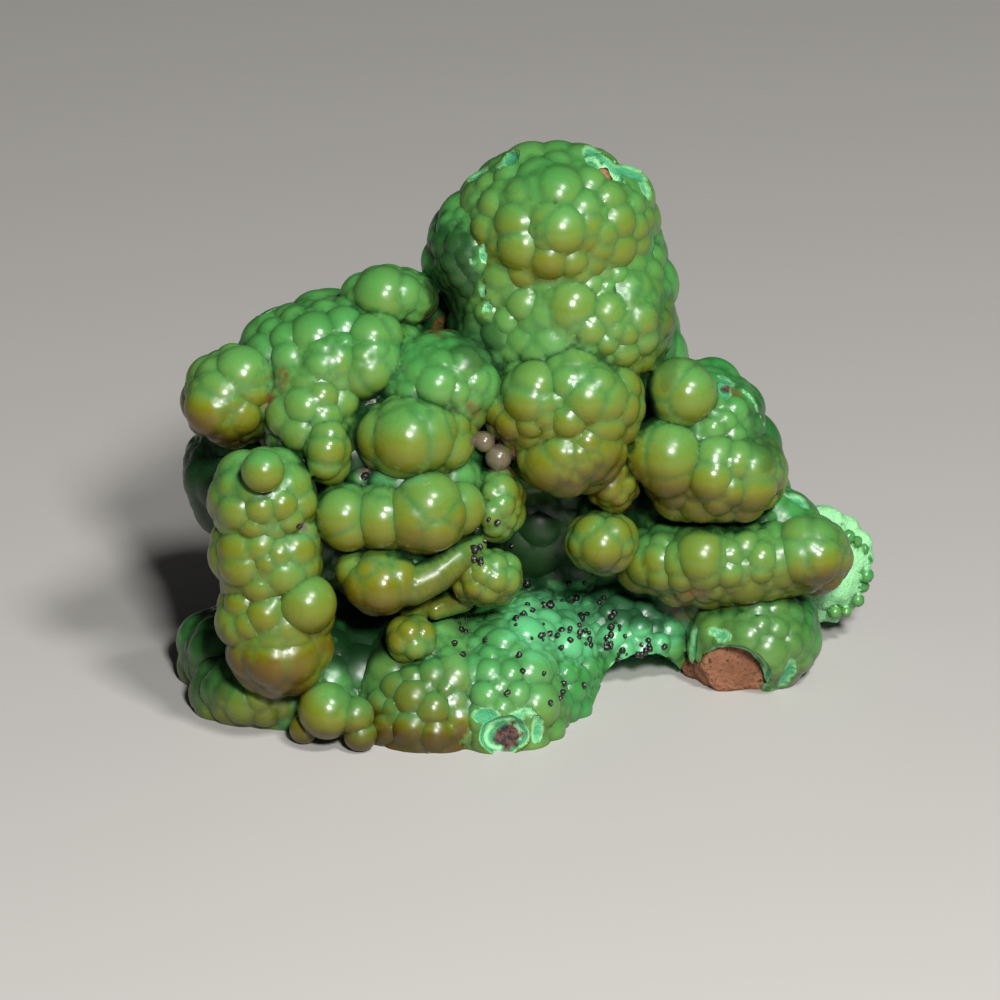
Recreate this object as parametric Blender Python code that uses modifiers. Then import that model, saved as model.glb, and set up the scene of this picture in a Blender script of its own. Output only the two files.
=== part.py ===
"""Botryoidal malachite specimen: one grown crust of fused round lumps, with the red-brown
rock that it grew on showing behind it and at its breaks.

All sizes are millimetres until metres() turns them into Blender's units, +Z up. The face of
the specimen is charted on a plane that leans back by FACE_TILT: "across" runs to the right,
"up" runs up that plane, and "behind" is the level distance back from the front foot.
"""
import math
from collections import namedtuple

import bmesh
import bpy
import numpy as np
from mathutils import Matrix, Vector, noise

MM = 0.001
FACE_TILT = math.radians(22.0)
ORIGIN_SHIFT = (0.0, -27.0, 0.0)            # puts the origin under the middle of the specimen

CRUST_VOXEL = 0.7                       # grain of the fused crust before it is thinned
ROCK_VOXEL = 1.3
CRUST_TRIANGLES = 6900
ROCK_TRIANGLES = 900
SMALLEST_LUMP = 1.6                     # lumps under this radius are left to the finish
CELL_REACH = 1.18                       # how far a lump's ball spreads past its visible cell
MOST_REACH = 0.96                       # a lump spans at most this share of its lobe
FILL_TRIES = 6.0                        # tries for a fill lump, for each lump of bare surface
FILL_LARGE = 1.6                        # the first fill lumps' radius, over the usual one
FILL_SMALL = 0.65                       # and the last ones'
FILL_GROWTH = 1.3                       # a fill lump's radius, for each millimetre of room
LUMP_OVERLAP = 0.70                     # how far a lump keeps its neighbours' middles off
SMALLEST_FILL = 1.0
FILL_STAND = 0.62                       # how far a fill lump stands out, over a charted one
ROLL_SPACING = 0.35                     # distance between the balls of a roll, in radii
BALL_SUBDIVISIONS = 3
ROCK_SUBDIVISIONS = 5
ROCK_GAP = 0.45                         # open seam between the crust and the rock
ROCK_ROUGHNESS = 1.5
ROCK_GRAIN = 7.0                        # size of the rock's humps
BREAK_ROUGHNESS = 1.1
BREAK_GRAIN = 9.0
FINE_BREAK_GRAIN = 4.0
FINE_BREAK_SHARE = 0.6
HOLLOW_ROUGHNESS = 0.6
HOLLOW_GRAIN = 5.0
BACK_BREAK = 46.5                       # the crust is broken off this far behind its foot
WING_REACH = 10.5                       # and this much further behind the low right wing
WING_INNER, WING_OUTER = 34.0, 42.0     # the wing begins between these, to the right
WING_TOP, WING_SHOULDER = 24.0, 14.0    # and ends between these heights
TOWER_SETBACK = 4.5                     # the tower's top is broken off this much nearer
TOWER_LOW, TOWER_HIGH = 50.0, 76.0
BREAK_MIDDLE = 30.0                     # height of the middle of a break cutter
FAR_SIDE = 150.0                        # back of a break cutter, behind the front foot
ROCK_STANDS_OUT = 5.5                   # the rock is broken off this far behind the crust
BREAK_STEP = 3.2                        # facet size of a broken face
REACH = 90.0                            # half-length of a cutting block

Lobe = namedtuple("Lobe", "name centre radii stand fill lumps")
Mass = namedtuple("Mass", "name centre radii stand fill lumps")

# A lobe leans with the face: its centre is (across, up, behind), its radii are (across, up,
# out to the front).
# "stand" is how far its lumps stand out, in lump radii, and "fill" is the usual radius of the
# lumps that cover what the chart leaves bare. Each lump is (across, up, radius of its cell).
LOBES = (
    Lobe("tower head", (4.4, 76.4, 35.4), (13.8, 10.6, 12.4), 0.46, 2.1, (
        (4.4, 85.4, 2.2), (9.4, 82.6, 2.3), (13.6, 76.6, 2.6), (12.2, 80.2, 2.4),
        (16.2, 75.8, 2.0), (16.4, 72.9, 2.2), (15.8, 79.2, 1.8), (17.6, 77.2, 1.6),
        (-6.2, 75.4, 2.2), (-8.4, 75.2, 1.7), (-7.4, 79.8, 1.7), (-5.0, 79.2, 2.1),
        (-5.8, 82.2, 2.0), (-2.6, 83.6, 2.1), (-7.0, 70.8, 1.3), (-6.4, 72.8, 1.4))),
    Lobe("tower middle", (3.8, 75.0, 32.0), (10.6, 9.8, 9.6), 0.50, 1.7, (
        (4.2, 81.6, 3.8), (-0.6, 80.6, 3.0), (8.6, 78.6, 3.3), (4.4, 75.4, 3.6),
        (-1.8, 76.6, 3.0), (-1.3, 72.6, 3.0), (-0.7, 68.3, 2.2), (3.3, 70.8, 2.7),
        (6.8, 70.4, 2.1), (10.0, 70.2, 1.9), (9.2, 74.6, 2.4), (11.5, 75.4, 1.8),
        (-4.6, 70.2, 1.9))),
    Lobe("tower left flank", (-6.4, 72.6, 36.5), (7.2, 8.4, 9.8), 0.45, 1.8, (
        (-8.9, 77.8, 1.6), (-11.2, 76.4, 2.2), (-12.2, 73.4, 2.1), (-10.2, 73.4, 1.8),
        (-10.8, 70.8, 1.7), (-8.6, 71.6, 1.5), (-9.6, 68.4, 1.6), (-7.6, 66.6, 1.9))),
    Lobe("tower trunk", (5.0, 66.4, 34.4), (15.4, 18.4, 12.8), 0.48, 2.0, (
        (15.6, 66.4, 3.0), (18.4, 69.4, 2.0), (19.6, 67.0, 2.1), (19.0, 71.8, 1.8),
        (11.7, 67.2, 1.2), (13.4, 69.0, 1.4), (-0.5, 64.8, 2.2), (-4.8, 66.4, 1.9),
        (-5.8, 63.6, 1.8), (-7.6, 62.0, 1.8), (-3.0, 62.4, 1.7))),
    Lobe("tower waist", (9.0, 62.6, 31.2), (11.8, 10.2, 10.8), 0.46, 2.1, (
        (6.0, 65.0, 3.9), (4.4, 62.2, 3.0), (11.7, 63.9, 2.4), (12.9, 61.2, 1.6),
        (9.0, 61.2, 2.3), (17.0, 62.8, 2.5), (17.4, 59.6, 2.0), (20.0, 62.2, 1.9),
        (20.2, 65.2, 1.7), (20.2, 59.0, 1.5), (1.2, 61.2, 2.0), (-1.6, 61.0, 1.8),
        (5.9, 60.2, 1.8), (11.7, 59.2, 1.5), (14.6, 60.6, 1.7), (14.4, 57.6, 1.9),
        (18.6, 56.8, 1.8), (2.4, 58.2, 1.9), (-0.8, 57.8, 2.0))),
    Lobe("tower bulge", (5.4, 50.8, 23.5), (11.2, 8.4, 8.8), 0.52, 1.8, (
        (6.9, 55.2, 3.7), (10.2, 52.6, 3.9), (14.6, 53.8, 2.5), (14.3, 50.2, 2.6),
        (0.6, 52.7, 3.5), (4.3, 51.3, 1.2), (7.0, 50.0, 1.8), (6.2, 48.0, 2.3),
        (-3.6, 56.6, 1.9), (-5.0, 54.0, 1.8), (-4.8, 50.6, 2.6), (-2.6, 47.6, 2.2),
        (-4.6, 47.2, 1.6), (0.4, 47.6, 1.9), (2.6, 48.6, 1.6), (2.2, 57.0, 1.6))),
    Lobe("bulge tip", (6.4, 44.2, 21.0), (7.8, 6.0, 6.4), 0.46, 1.8, (
        (8.6, 45.4, 4.4), (4.8, 41.6, 4.2), (0.4, 42.4, 2.3), (12.0, 46.4, 2.4),
        (9.8, 42.4, 2.5), (1.6, 45.4, 2.0))),
    Lobe("bulge tail", (12.6, 39.8, 25.0), (3.4, 3.8, 4.4), 0.50, 1.5, (
        (12.6, 42.0, 2.0), (11.6, 38.6, 1.9), (13.4, 37.4, 1.5), (9.8, 37.4, 1.5),
        (14.9, 39.2, 1.4), (16.2, 38.0, 1.2))),
    Lobe("left shoulder", (-27.0, 56.8, 29.2), (13.8, 9.0, 11.8), 0.50, 2.1, (
        (-38.0, 57.8, 2.9), (-41.0, 57.2, 2.3), (-38.4, 54.0, 3.3), (-34.2, 60.4, 2.2),
        (-33.9, 57.4, 2.2), (-33.6, 54.6, 2.1), (-30.2, 61.4, 3.0), (-25.6, 62.8, 2.6),
        (-28.0, 56.6, 3.3), (-26.4, 53.6, 2.5), (-29.8, 52.4, 2.4), (-21.0, 61.0, 3.3),
        (-21.7, 56.4, 3.8), (-29.0, 59.2, 1.6), (-25.6, 59.4, 1.5), (-16.4, 58.6, 1.8),
        (-16.0, 62.0, 2.0), (-13.2, 58.2, 2.0), (-13.2, 61.4, 1.7), (-17.2, 54.6, 1.7),
        (-33.0, 63.6, 1.8), (-36.4, 61.6, 1.9), (-28.6, 64.6, 1.8), (-32.4, 52.2, 1.6),
        (-19.0, 53.0, 1.6), (-14.8, 55.4, 1.5))),
    Lobe("shoulder knob", (-19.4, 65.8, 31.4), (6.4, 4.2, 6.4), 0.52, 1.7, (
        (-20.6, 67.2, 3.6), (-17.0, 66.8, 2.5), (-14.6, 65.4, 2.1), (-15.6, 63.2, 1.8),
        (-24.2, 64.6, 2.1), (-18.6, 63.6, 1.9), (-22.0, 63.0, 1.8))),
    Lobe("shoulder corner", (-41.4, 51.8, 24.0), (6.8, 6.6, 7.4), 0.52, 1.8, (
        (-38.9, 55.4, 4.0), (-44.6, 50.0, 4.2), (-40.2, 48.6, 2.8), (-43.4, 46.4, 2.2),
        (-46.8, 47.4, 1.8), (-44.4, 55.6, 2.4), (-47.2, 52.8, 1.8), (-36.2, 50.2, 2.2),
        (-41.6, 58.4, 2.0), (-36.0, 58.8, 1.8))),
    Lobe("shoulder foot", (-30.0, 50.0, 24.0), (7.6, 9.6, 10.4), 0.46, 2.1, (
        (-31.6, 50.4, 2.5), (-35.0, 48.8, 2.7), (-32.4, 46.4, 2.6), (-24.8, 51.4, 2.3),
        (-28.0, 48.6, 2.2), (-35.8, 45.2, 1.8), (-28.4, 52.0, 2.0), (-29.6, 43.8, 1.8))),
    Lobe("folded drop", (-28.0, 44.4, 15.5), (3.0, 4.4, 5.0), 0.46, 1.7, (
        (-27.2, 47.0, 2.2), (-28.2, 44.2, 2.3), (-29.0, 41.6, 2.1))),
    Lobe("upper middle", (-15.8, 46.2, 19.0), (8.6, 6.2, 8.2), 0.40, 1.6, (
        (-16.4, 45.9, 4.7), (-21.6, 46.0, 3.2), (-11.8, 47.6, 2.6), (-9.0, 43.8, 2.7),
        (-9.0, 48.0, 1.9), (-13.6, 50.6, 1.9), (-18.4, 51.0, 2.0), (-22.8, 49.6, 1.6))),
    Lobe("saddle", (-12.2, 53.6, 24.0), (8.6, 6.8, 8.8), 0.46, 1.9, (
        (-12.6, 53.2, 2.7), (-16.8, 51.8, 2.0), (-9.2, 52.0, 1.7), (-8.1, 57.0, 2.5),
        (-5.9, 57.6, 1.6), (-9.0, 50.0, 1.4))),
    Lobe("side bunch", (-4.2, 36.6, 19.5), (3.8, 5.2, 5.4), 0.55, 1.4, (
        (-5.3, 35.0, 1.9), (-4.8, 38.4, 1.4), (-3.0, 36.4, 1.7), (-1.9, 34.2, 1.2),
        (-6.3, 40.2, 1.3), (-4.6, 33.0, 1.5))),
    Lobe("lip bunch", (-5.6, 26.2, 15.5), (5.0, 3.8, 5.2), 0.55, 1.3, (
        (-8.3, 27.1, 1.5), (-6.0, 27.5, 1.8), (-4.0, 28.3, 1.7), (-3.9, 25.9, 1.7),
        (-1.8, 28.3, 1.7), (-1.9, 25.7, 1.8), (-1.2, 29.8, 1.2), (-9.4, 24.5, 1.3),
        (-7.4, 24.4, 1.5), (-5.4, 23.6, 1.6))),
    Lobe("hanging bunch", (-16.2, 17.5, 11.0), (3.2, 3.0, 3.4), 0.55, 1.3, (
        (-18.2, 17.0, 1.7), (-16.5, 18.6, 1.6), (-13.9, 18.3, 1.6), (-15.4, 16.0, 1.7),
        (-13.6, 16.4, 1.4))),
    Lobe("column head", (-36.9, 37.2, 12.0), (7.1, 6.8, 6.2), 0.46, 2.0, (
        (-41.9, 39.4, 2.3), (-40.8, 41.4, 1.5), (-41.4, 35.4, 2.6), (-37.3, 35.9, 2.1),
        (-33.9, 36.4, 2.0), (-30.6, 36.6, 2.2), (-32.6, 34.1, 1.9), (-38.6, 33.0, 1.8))),
    Lobe("column waist", (-36.4, 29.6, 11.0), (7.5, 7.2, 6.0), 0.46, 2.0, (
        (-41.0, 30.4, 3.1), (-40.9, 27.6, 2.9), (-37.6, 31.0, 2.4), (-36.4, 28.4, 1.6),
        (-34.4, 29.6, 2.1), (-31.8, 30.2, 2.7))),
    Lobe("column shaft", (-35.6, 21.8, 10.2), (7.4, 8.2, 6.2), 0.44, 2.0, (
        (-41.0, 22.6, 2.2), (-39.0, 24.2, 1.5), (-37.3, 23.8, 1.7), (-37.0, 20.8, 2.3),
        (-35.6, 22.4, 1.4), (-39.8, 19.4, 2.0), (-33.0, 25.7, 1.3), (-37.0, 25.6, 1.3))),
    Lobe("column core", (-36.4, 28.4, 13.0), (6.2, 14.0, 6.4), 0.30, 0.0, ()),
    Lobe("column foot", (-35.0, 16.0, 9.5), (6.8, 6.2, 6.0), 0.28, 2.0, (
        (-38.0, 16.2, 3.6), (-33.4, 15.8, 4.0), (-35.2, 13.6, 3.8), (-34.6, 18.2, 2.8))),
    Lobe("left foot", (-37.2, 9.4, 21.4), (10.0, 6.2, 12.0), 0.46, 1.9, (
        (-45.2, 10.4, 2.1), (-42.8, 9.4, 2.0), (-40.7, 7.2, 2.5), (-37.0, 6.2, 2.1),
        (-33.8, 6.8, 1.9), (-33.6, 4.4, 1.5), (-38.0, 9.2, 2.0))),
    Lobe("left heel", (-43.4, 14.8, 31.0), (6.0, 6.2, 10.2), 0.46, 2.2, (
        (-46.8, 15.8, 2.6), (-45.4, 19.0, 2.2), (-47.0, 12.4, 1.8))),
    Lobe("lip", (-19.6, 25.6, 13.0), (6.4, 4.0, 6.0), 0.30, 0.0, (
        (-21.8, 26.4, 3.6), (-17.4, 25.4, 2.8), (-19.8, 23.2, 2.2), (-23.6, 24.2, 2.0),
        (-14.8, 24.6, 2.0))),
    Lobe("double ball core", (-17.0, 35.4, 16.5), (11.0, 5.6, 6.5), 0.30, 0.0, ()),
    Lobe("ball bunch", (11.0, 31.0, 22.5), (5.0, 4.2, 5.2), 0.46, 1.5, (
        (9.0, 33.1, 2.5), (13.2, 32.8, 2.3), (10.8, 30.2, 2.9), (7.4, 30.8, 1.9),
        (11.2, 28.2, 1.8), (14.4, 30.6, 1.6))),
    Lobe("right crown", (25.6, 47.2, 31.5), (8.4, 7.8, 9.0), 0.48, 1.6, (
        (25.6, 54.0, 2.9), (27.2, 51.6, 1.4), (30.4, 50.4, 1.9), (33.4, 47.8, 1.7),
        (30.2, 46.2, 1.5), (26.9, 47.4, 1.6), (34.6, 45.4, 1.6), (28.8, 48.6, 1.5),
        (32.0, 53.0, 1.5), (18.6, 50.2, 1.8))),
    Lobe("right cheek", (27.2, 41.0, 27.6), (9.8, 6.8, 8.0), 0.52, 1.9, (
        (26.8, 44.2, 3.2), (26.4, 40.2, 3.1), (30.4, 43.2, 2.7), (33.2, 42.0, 3.0),
        (33.2, 38.2, 3.2), (32.0, 35.4, 2.5), (29.4, 38.2, 2.2), (27.4, 36.6, 2.2),
        (35.6, 41.0, 1.7), (35.4, 36.6, 1.6), (25.8, 38.2, 1.7))),
    Lobe("arm", (28.6, 28.4, 29.5), (14.6, 6.2, 8.0), 0.52, 1.8, (
        (16.4, 27.4, 2.5), (18.6, 28.6, 2.3), (19.0, 26.0, 2.2), (19.2, 31.2, 1.8),
        (17.2, 30.9, 1.8), (22.0, 28.4, 2.5), (22.2, 25.8, 2.1), (25.2, 29.8, 3.6),
        (23.4, 32.2, 1.8), (26.6, 32.6, 2.2), (31.6, 31.2, 2.0), (34.0, 29.0, 2.2),
        (29.2, 26.6, 2.0), (33.8, 26.8, 1.7), (23.0, 23.4, 1.5), (29.4, 29.6, 1.9))),
    Lobe("arm end", (41.2, 29.2, 31.0), (5.6, 5.2, 7.2), 0.50, 1.6, (
        (38.6, 30.2, 4.1), (40.8, 29.4, 4.1), (44.4, 31.4, 2.4), (45.0, 28.4, 2.5),
        (43.8, 25.4, 2.3), (40.6, 25.2, 1.9), (37.6, 26.8, 1.6))),
    Lobe("right block", (33.2, 17.2, 31.5), (9.2, 7.6, 10.0), 0.46, 1.7, (
        (33.2, 22.6, 2.8), (30.6, 23.0, 2.1), (27.6, 23.0, 2.1), (36.0, 22.4, 2.4),
        (38.6, 21.4, 1.9), (40.8, 20.6, 1.8), (40.6, 17.2, 1.8), (38.6, 16.2, 1.7),
        (36.4, 18.8, 1.6), (40.4, 13.6, 1.7), (33.8, 19.4, 1.5), (38.4, 12.4, 1.5))),
)

# Round lumps that stand clear of a lobe: (across, up, behind, radius).
BALLS = (
    (-14.0, 35.2, 12.0, 5.6), (-20.0, 34.9, 12.5, 4.8), (-25.4, 34.8, 12.5, 4.5),
    (-9.6, 36.0, 14.0, 4.0), (-18.6, 39.4, 15.0, 2.6), (-36.8, 41.2, 5.8, 3.05),
    (-30.9, 22.5, 6.8, 4.3), (-24.0, 27.2, 12.0, 3.0), (-19.4, 26.9, 11.6, 3.6),
    (-28.1, 7.3, 5.2, 4.1), (-24.2, 6.6, 4.8, 2.8), (-23.4, 3.9, 4.4, 2.4),
    (-31.4, 4.6, 7.0, 2.1), (22.4, 52.4, 26.5, 4.8), (20.2, 43.4, 24.2, 5.4),
    (-3.8, 43.2, 19.5, 1.9), (-5.8, 45.4, 19.5, 1.5), (-12.4, 40.4, 16.0, 2.6),
    (-23.4, 40.0, 16.5, 2.3),
)

# Smooth rolls and necks: each is a chain of (across, up, behind, radius).
ROLLS = (
    ((-19.6, 24.8, 10.4, 2.8), (-16.0, 25.0, 10.0, 2.8), (-12.6, 26.6, 10.8, 2.6),
     (-9.6, 28.8, 12.4, 2.2), (-7.2, 30.6, 15.0, 1.7)),
    ((-29.7, 11.3, 7.2, 1.3), (-28.4, 9.0, 7.0, 1.9)),
    ((-36.8, 41.2, 7.0, 2.0), (-36.2, 41.0, 20.0, 2.4)),
    ((-16.4, 18.4, 11.5, 1.7), (-15.6, 21.6, 15.0, 2.1), (-14.0, 25.0, 18.0, 2.6)),
    ((-12.8, 21.6, 15.0, 1.5), (-9.0, 23.0, 17.5, 1.9)),
)

# Upright masses that carry the lobes: centre (right, back, high), radii, then as a lobe.
MASSES = (
    Mass("apron left", (-13.8, 19.4, 1.0), (12.4, 15.8, 13.0), 0.52, 1.9, (
        (-25.0, 13.8, 1.8), (-22.5, 11.3, 1.5), (-21.1, 8.6, 1.7), (-18.8, 11.0, 1.9),
        (-16.3, 12.3, 1.6), (-16.3, 9.5, 2.3), (-13.0, 12.8, 2.1), (-10.9, 10.6, 1.5),
        (-13.0, 7.6, 2.2), (-16.6, 4.6, 2.2), (-20.2, 4.6, 1.9), (-12.6, 3.6, 2.2),
        (-10.8, 15.0, 1.7), (-26.4, 9.8, 1.4), (-9.9, 18.4, 1.4))),
    Mass("apron front", (-3.6, 19.0, 1.0), (10.2, 15.6, 12.6), 0.52, 1.9, (
        (-8.2, 12.8, 2.6), (-5.4, 12.9, 2.0), (-5.8, 9.6, 2.0), (-9.4, 8.0, 2.2),
        (-3.3, 17.3, 2.2), (-7.8, 18.7, 1.6), (-7.6, 16.6, 1.4), (-4.3, 20.2, 1.5),
        (-1.3, 22.8, 1.3), (-1.7, 20.0, 1.8), (0.6, 18.4, 3.0), (-1.9, 12.8, 1.8),
        (-0.8, 9.8, 1.8), (1.4, 13.2, 2.9), (2.6, 8.2, 3.1), (6.4, 8.2, 1.9),
        (-9.0, 4.0, 2.0), (4.4, 4.2, 2.0), (-5.2, 15.2, 1.5), (-1.0, 3.6, 1.8))),
    Mass("apron shelf", (0.0, 28.0, 1.5), (11.0, 17.0, 11.0), 0.50, 1.4, (
        (6.2, 16.4, 2.2), (3.0, 24.4, 1.4), (5.2, 24.0, 1.4), (2.0, 27.0, 1.6),
        (6.0, 12.4, 1.7), (9.2, 13.0, 1.6), (8.8, 17.6, 1.5), (9.7, 21.5, 1.5))),
    Mass("far shelf", (14.0, 42.0, 4.0), (12.4, 15.0, 8.0), 0.50, 1.4, (
        (12.0, 21.0, 1.3), (12.6, 17.4, 2.0), (16.6, 18.8, 1.7), (19.6, 16.4, 1.5))),
    Mass("back of the tower", (4.8, 40.0, 52.0), (14.4, 9.4, 24.0), 0.44, 2.4, ()),
    Mass("middle back", (2.0, 44.0, 28.0), (24.0, 9.5, 32.0), 0.44, 2.6, ()),
    Mass("left back", (-24.0, 40.0, 27.0), (19.0, 12.4, 28.0), 0.44, 2.6, ()),
    Mass("left wall", (-39.6, 36.0, 29.5), (9.0, 9.6, 9.0), 0.44, 2.2, ()),
    Mass("right back", (25.0, 42.0, 18.0), (13.2, 10.4, 23.0), 0.44, 2.4, ()),
    Mass("column root", (-35.5, 22.0, 29.0), (5.6, 13.0, 6.5), 0.44, 2.0, ()),
    Mass("middle root", (-15.5, 26.0, 32.0), (10.5, 14.5, 13.0), 0.44, 2.0, ()),
    Mass("shoulder root", (-23.0, 29.0, 40.0), (13.5, 12.0, 12.0), 0.44, 2.0, ()),
    Mass("bulge root", (5.0, 32.0, 42.0), (9.5, 11.0, 11.0), 0.44, 2.0, ()),
    Mass("arm root", (29.0, 36.0, 21.0), (13.0, 9.0, 7.0), 0.44, 2.0, ()),
    Mass("crown root", (25.6, 37.0, 37.6), (8.2, 9.0, 7.6), 0.44, 2.0, ()),
    Mass("ball bunch root", (11.0, 29.0, 24.5), (3.0, 9.0, 3.4), 0.40, 1.5, ()),
    Mass("left base", (-28.0, 26.0, 3.0), (16.0, 16.0, 10.5), 0.44, 2.0, ()),
    Mass("under the bulge", (1.0, 42.0, 23.0), (12.0, 9.0, 10.0), 0.45, 1.6, ()),
    Mass("wing", (42.8, 46.0, 11.5), (7.4, 5.4, 9.4), 0.30, 0.0, ()),
)

# Hollows that the crust leaves open: centre (right, back, high), radii.
HOLLOWS = (
    ("arch", (17.2, 20.0, -3.0), (8.0, 20.0, 8.8)),
    ("bottom break", (-2.6, 2.6, 2.8), (4.0, 3.0, 3.0)),
    ("tower top", (22.5, 50.5, 93.5), (22.0, 22.0, 22.0)),
    ("tower chip", (11.6, 33.2, 77.8), (3.2, 3.2, 3.0)),
    ("window", (29.0, 19.5, 1.5), (7.5, 8.0, 8.0)),
    ("crown pit", (28.6, 28.0, 46.0), (1.6, 2.6, 1.2)),
)

# The rock behind the crust: centre (right, back, high), radii.
ROCK_MASSES = (
    ("slab", (-5.0, 48.0, 25.0), (33.0, 9.5, 26.0)),
    ("tower finger", (7.0, 46.5, 52.0), (9.0, 9.0, 22.0)),
    ("tower neck", (10.0, 43.0, 70.0), (2.6, 5.4, 4.0)),
    ("tower spur", (11.2, 37.0, 73.0), (2.0, 4.6, 3.2)),
    ("block tongue", (30.4, 36.5, 3.0), (8.0, 13.0, 7.6)),
)

MALACHITE_GREEN = (0.10, 0.26, 0.08, 1.0)
ROCK_BROWN = (0.23, 0.10, 0.06, 1.0)

LEVEL = Matrix.Identity(3)


def clear_scene():
    """Remove every object that the file opens with."""
    for item in list(bpy.data.objects):
        bpy.data.objects.remove(item, do_unlink=True)


def charted(across, up, behind):
    """Place a charted point in the upright frame, in millimetres."""
    high = (up - behind * math.sin(FACE_TILT)) / math.cos(FACE_TILT)
    return Vector((across, behind, high)) + Vector(ORIGIN_SHIFT)


def upright(point):
    """Place a point that is given as (right, back, high), in millimetres."""
    return Vector(point) + Vector(ORIGIN_SHIFT)


def face_axes():
    """Return the leaning face's across, up and out directions as a 3x3 matrix's columns."""
    sine = math.sin(FACE_TILT)
    cosine = math.cos(FACE_TILT)
    return Matrix(((1.0, 0.0, 0.0), (0.0, sine, -cosine), (0.0, cosine, sine)))


def lobe_centre(lobe):
    """Return a lobe's centre in the upright frame."""
    return charted(*lobe.centre)


def seat_lump(centre, axes, radii, stand, on_unit, radius):
    """Seat a lump where a unit-sphere point maps to on an ellipsoid, and return its ball.

    The ellipsoid is taken as a sphere of its mean radius: the ball meets it all around the
    lump's cell, and stands out of it by stand cell radii.
    """
    mean = (radii[0] * radii[1] * radii[2]) ** (1.0 / 3.0)
    top = mean + stand * radius
    reach = min(MOST_REACH, CELL_REACH * radius / mean)
    inwards = mean * math.sqrt(1.0 - reach ** 2)
    middle = (top ** 2 - mean ** 2) / (2.0 * (top - inwards))
    surface = Vector([on_unit[i] * radii[i] for i in range(3)])
    normal = Vector([on_unit[i] / radii[i] for i in range(3)]).normalized()
    return centre + axes @ (surface - normal * (mean - middle)), top - middle


def charted_direction(centre, axes, radii, across, up):
    """Return the unit-sphere point of an ellipsoid that a charted point falls on, in front."""
    away = Vector((0.0, math.cos(FACE_TILT), -math.sin(FACE_TILT)))
    start = axes.transposed() @ (charted(across, up, 0.0) - centre)
    step = axes.transposed() @ away
    start = Vector([start[i] / radii[i] for i in range(3)])
    step = Vector([step[i] / radii[i] for i in range(3)])
    middle = start.dot(step) / step.length_squared
    spread = middle ** 2 - (start.length_squared - 1.0) / step.length_squared
    return (start + step * (-middle - math.sqrt(max(0.0, spread)))).normalized()


def lobe_balls(centre, axes, radii, stand, fill, lumps, seed):
    """Seat a lobe's charted lumps, then cover what they leave bare with lumps of mixed sizes."""
    cells = [(charted_direction(centre, axes, radii, across, up), radius)
             for across, up, radius in lumps]
    balls = [seat_lump(centre, axes, radii, stand, *cell) for cell in cells]
    if fill:
        balls += [seat_lump(centre, axes, radii, stand * FILL_STAND, *cell)
                  for cell in fill_cells(radii, fill, cells, seed)]
    return balls


def fill_cells(radii, fill, cells, seed):
    """Pack cells at random into what is left bare of an ellipsoid, from large to small."""
    chance = np.random.default_rng(seed)
    mean_square = (radii[0] * radii[1] + radii[1] * radii[2] + radii[0] * radii[2]) / 3.0
    tries = int(FILL_TRIES * 4.0 * math.pi * mean_square / fill ** 2)
    filled = []
    places = np.array([cell[0][:] for cell in cells]).reshape(-1, 3) * np.array(radii)
    sizes = np.array([cell[1] for cell in cells])
    for number in range(tries):
        direction = Vector(chance.normal(size=3)).normalized()
        spot = np.array(direction) * np.array(radii)
        size = fill * (FILL_LARGE + (FILL_SMALL - FILL_LARGE) * number / tries)
        room = np.linalg.norm(places - spot, axis=1) - LUMP_OVERLAP * sizes
        size = min(size, FILL_GROWTH * np.min(room, initial=size))
        if size >= SMALLEST_FILL:
            filled.append((direction, size))
            places = np.vstack([places, spot])
            sizes = np.append(sizes, size)
    return filled


def chain_of_balls(points):
    """Return closely set balls along a smooth roll."""
    placed = [(charted(*point[:3]), point[3]) for point in points]
    balls = []
    for (start, start_radius), (end, end_radius) in zip(placed, placed[1:]):
        steps = max(2, int((end - start).length / (ROLL_SPACING * min(start_radius, end_radius))))
        for step in range(steps + 1):
            share = step / steps
            balls.append((start.lerp(end, share),
                          start_radius + (end_radius - start_radius) * share))
    return balls


def unit_ball(subdivisions):
    """Return a unit icosphere's corners and triangles as arrays."""
    shape = bmesh.new()
    bmesh.ops.create_icosphere(shape, subdivisions=subdivisions, radius=1.0)
    corners = np.array([vertex.co[:] for vertex in shape.verts])
    triangles = np.array([[vertex.index for vertex in face.verts] for face in shape.faces])
    shape.free()
    return corners, triangles


def joined_balls(name, bodies, subdivisions, collection):
    """Join copies of one icosphere, each (centre, radii, axes), into one object."""
    corners, triangles = unit_ball(subdivisions)
    places = []
    faces = []
    for number, (centre, radii, axes) in enumerate(bodies):
        stretch = np.array(axes) * np.array(radii)
        places.append((corners @ stretch.T + np.array(centre)) * MM)
        faces.append(triangles + number * len(corners))
    mesh = bpy.data.meshes.new(name)
    mesh.from_pydata(np.concatenate(places).tolist(), [], np.concatenate(faces).tolist())
    item = bpy.data.objects.new(name, mesh)
    collection.objects.link(item)
    return item


def lumpy_bodies():
    """List every ellipsoid of the crust: centre, radii, axes, stand, fill radius, lumps."""
    leaning = [(lobe_centre(lobe), lobe.radii, face_axes(), lobe.stand, lobe.fill, lobe.lumps)
               for lobe in LOBES]
    level = [(upright(mass.centre), mass.radii, LEVEL, mass.stand, mass.fill, mass.lumps)
             for mass in MASSES]
    return leaning + level


def crust_balls(smallest=SMALLEST_LUMP):
    """List every lump of the crust and the ellipsoids that carry them."""
    balls = []
    bodies = []
    for seed, (centre, radii, axes, stand, fill, lumps) in enumerate(lumpy_bodies()):
        balls += lobe_balls(centre, axes, radii, stand, fill, lumps, seed)
        bodies.append((centre, radii, axes))
    for across, up, behind, radius in BALLS:
        balls.append((charted(across, up, behind), radius))
    for roll in ROLLS:
        balls += chain_of_balls(roll)
    return [ball for ball in balls if ball[1] >= smallest], bodies


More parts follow.
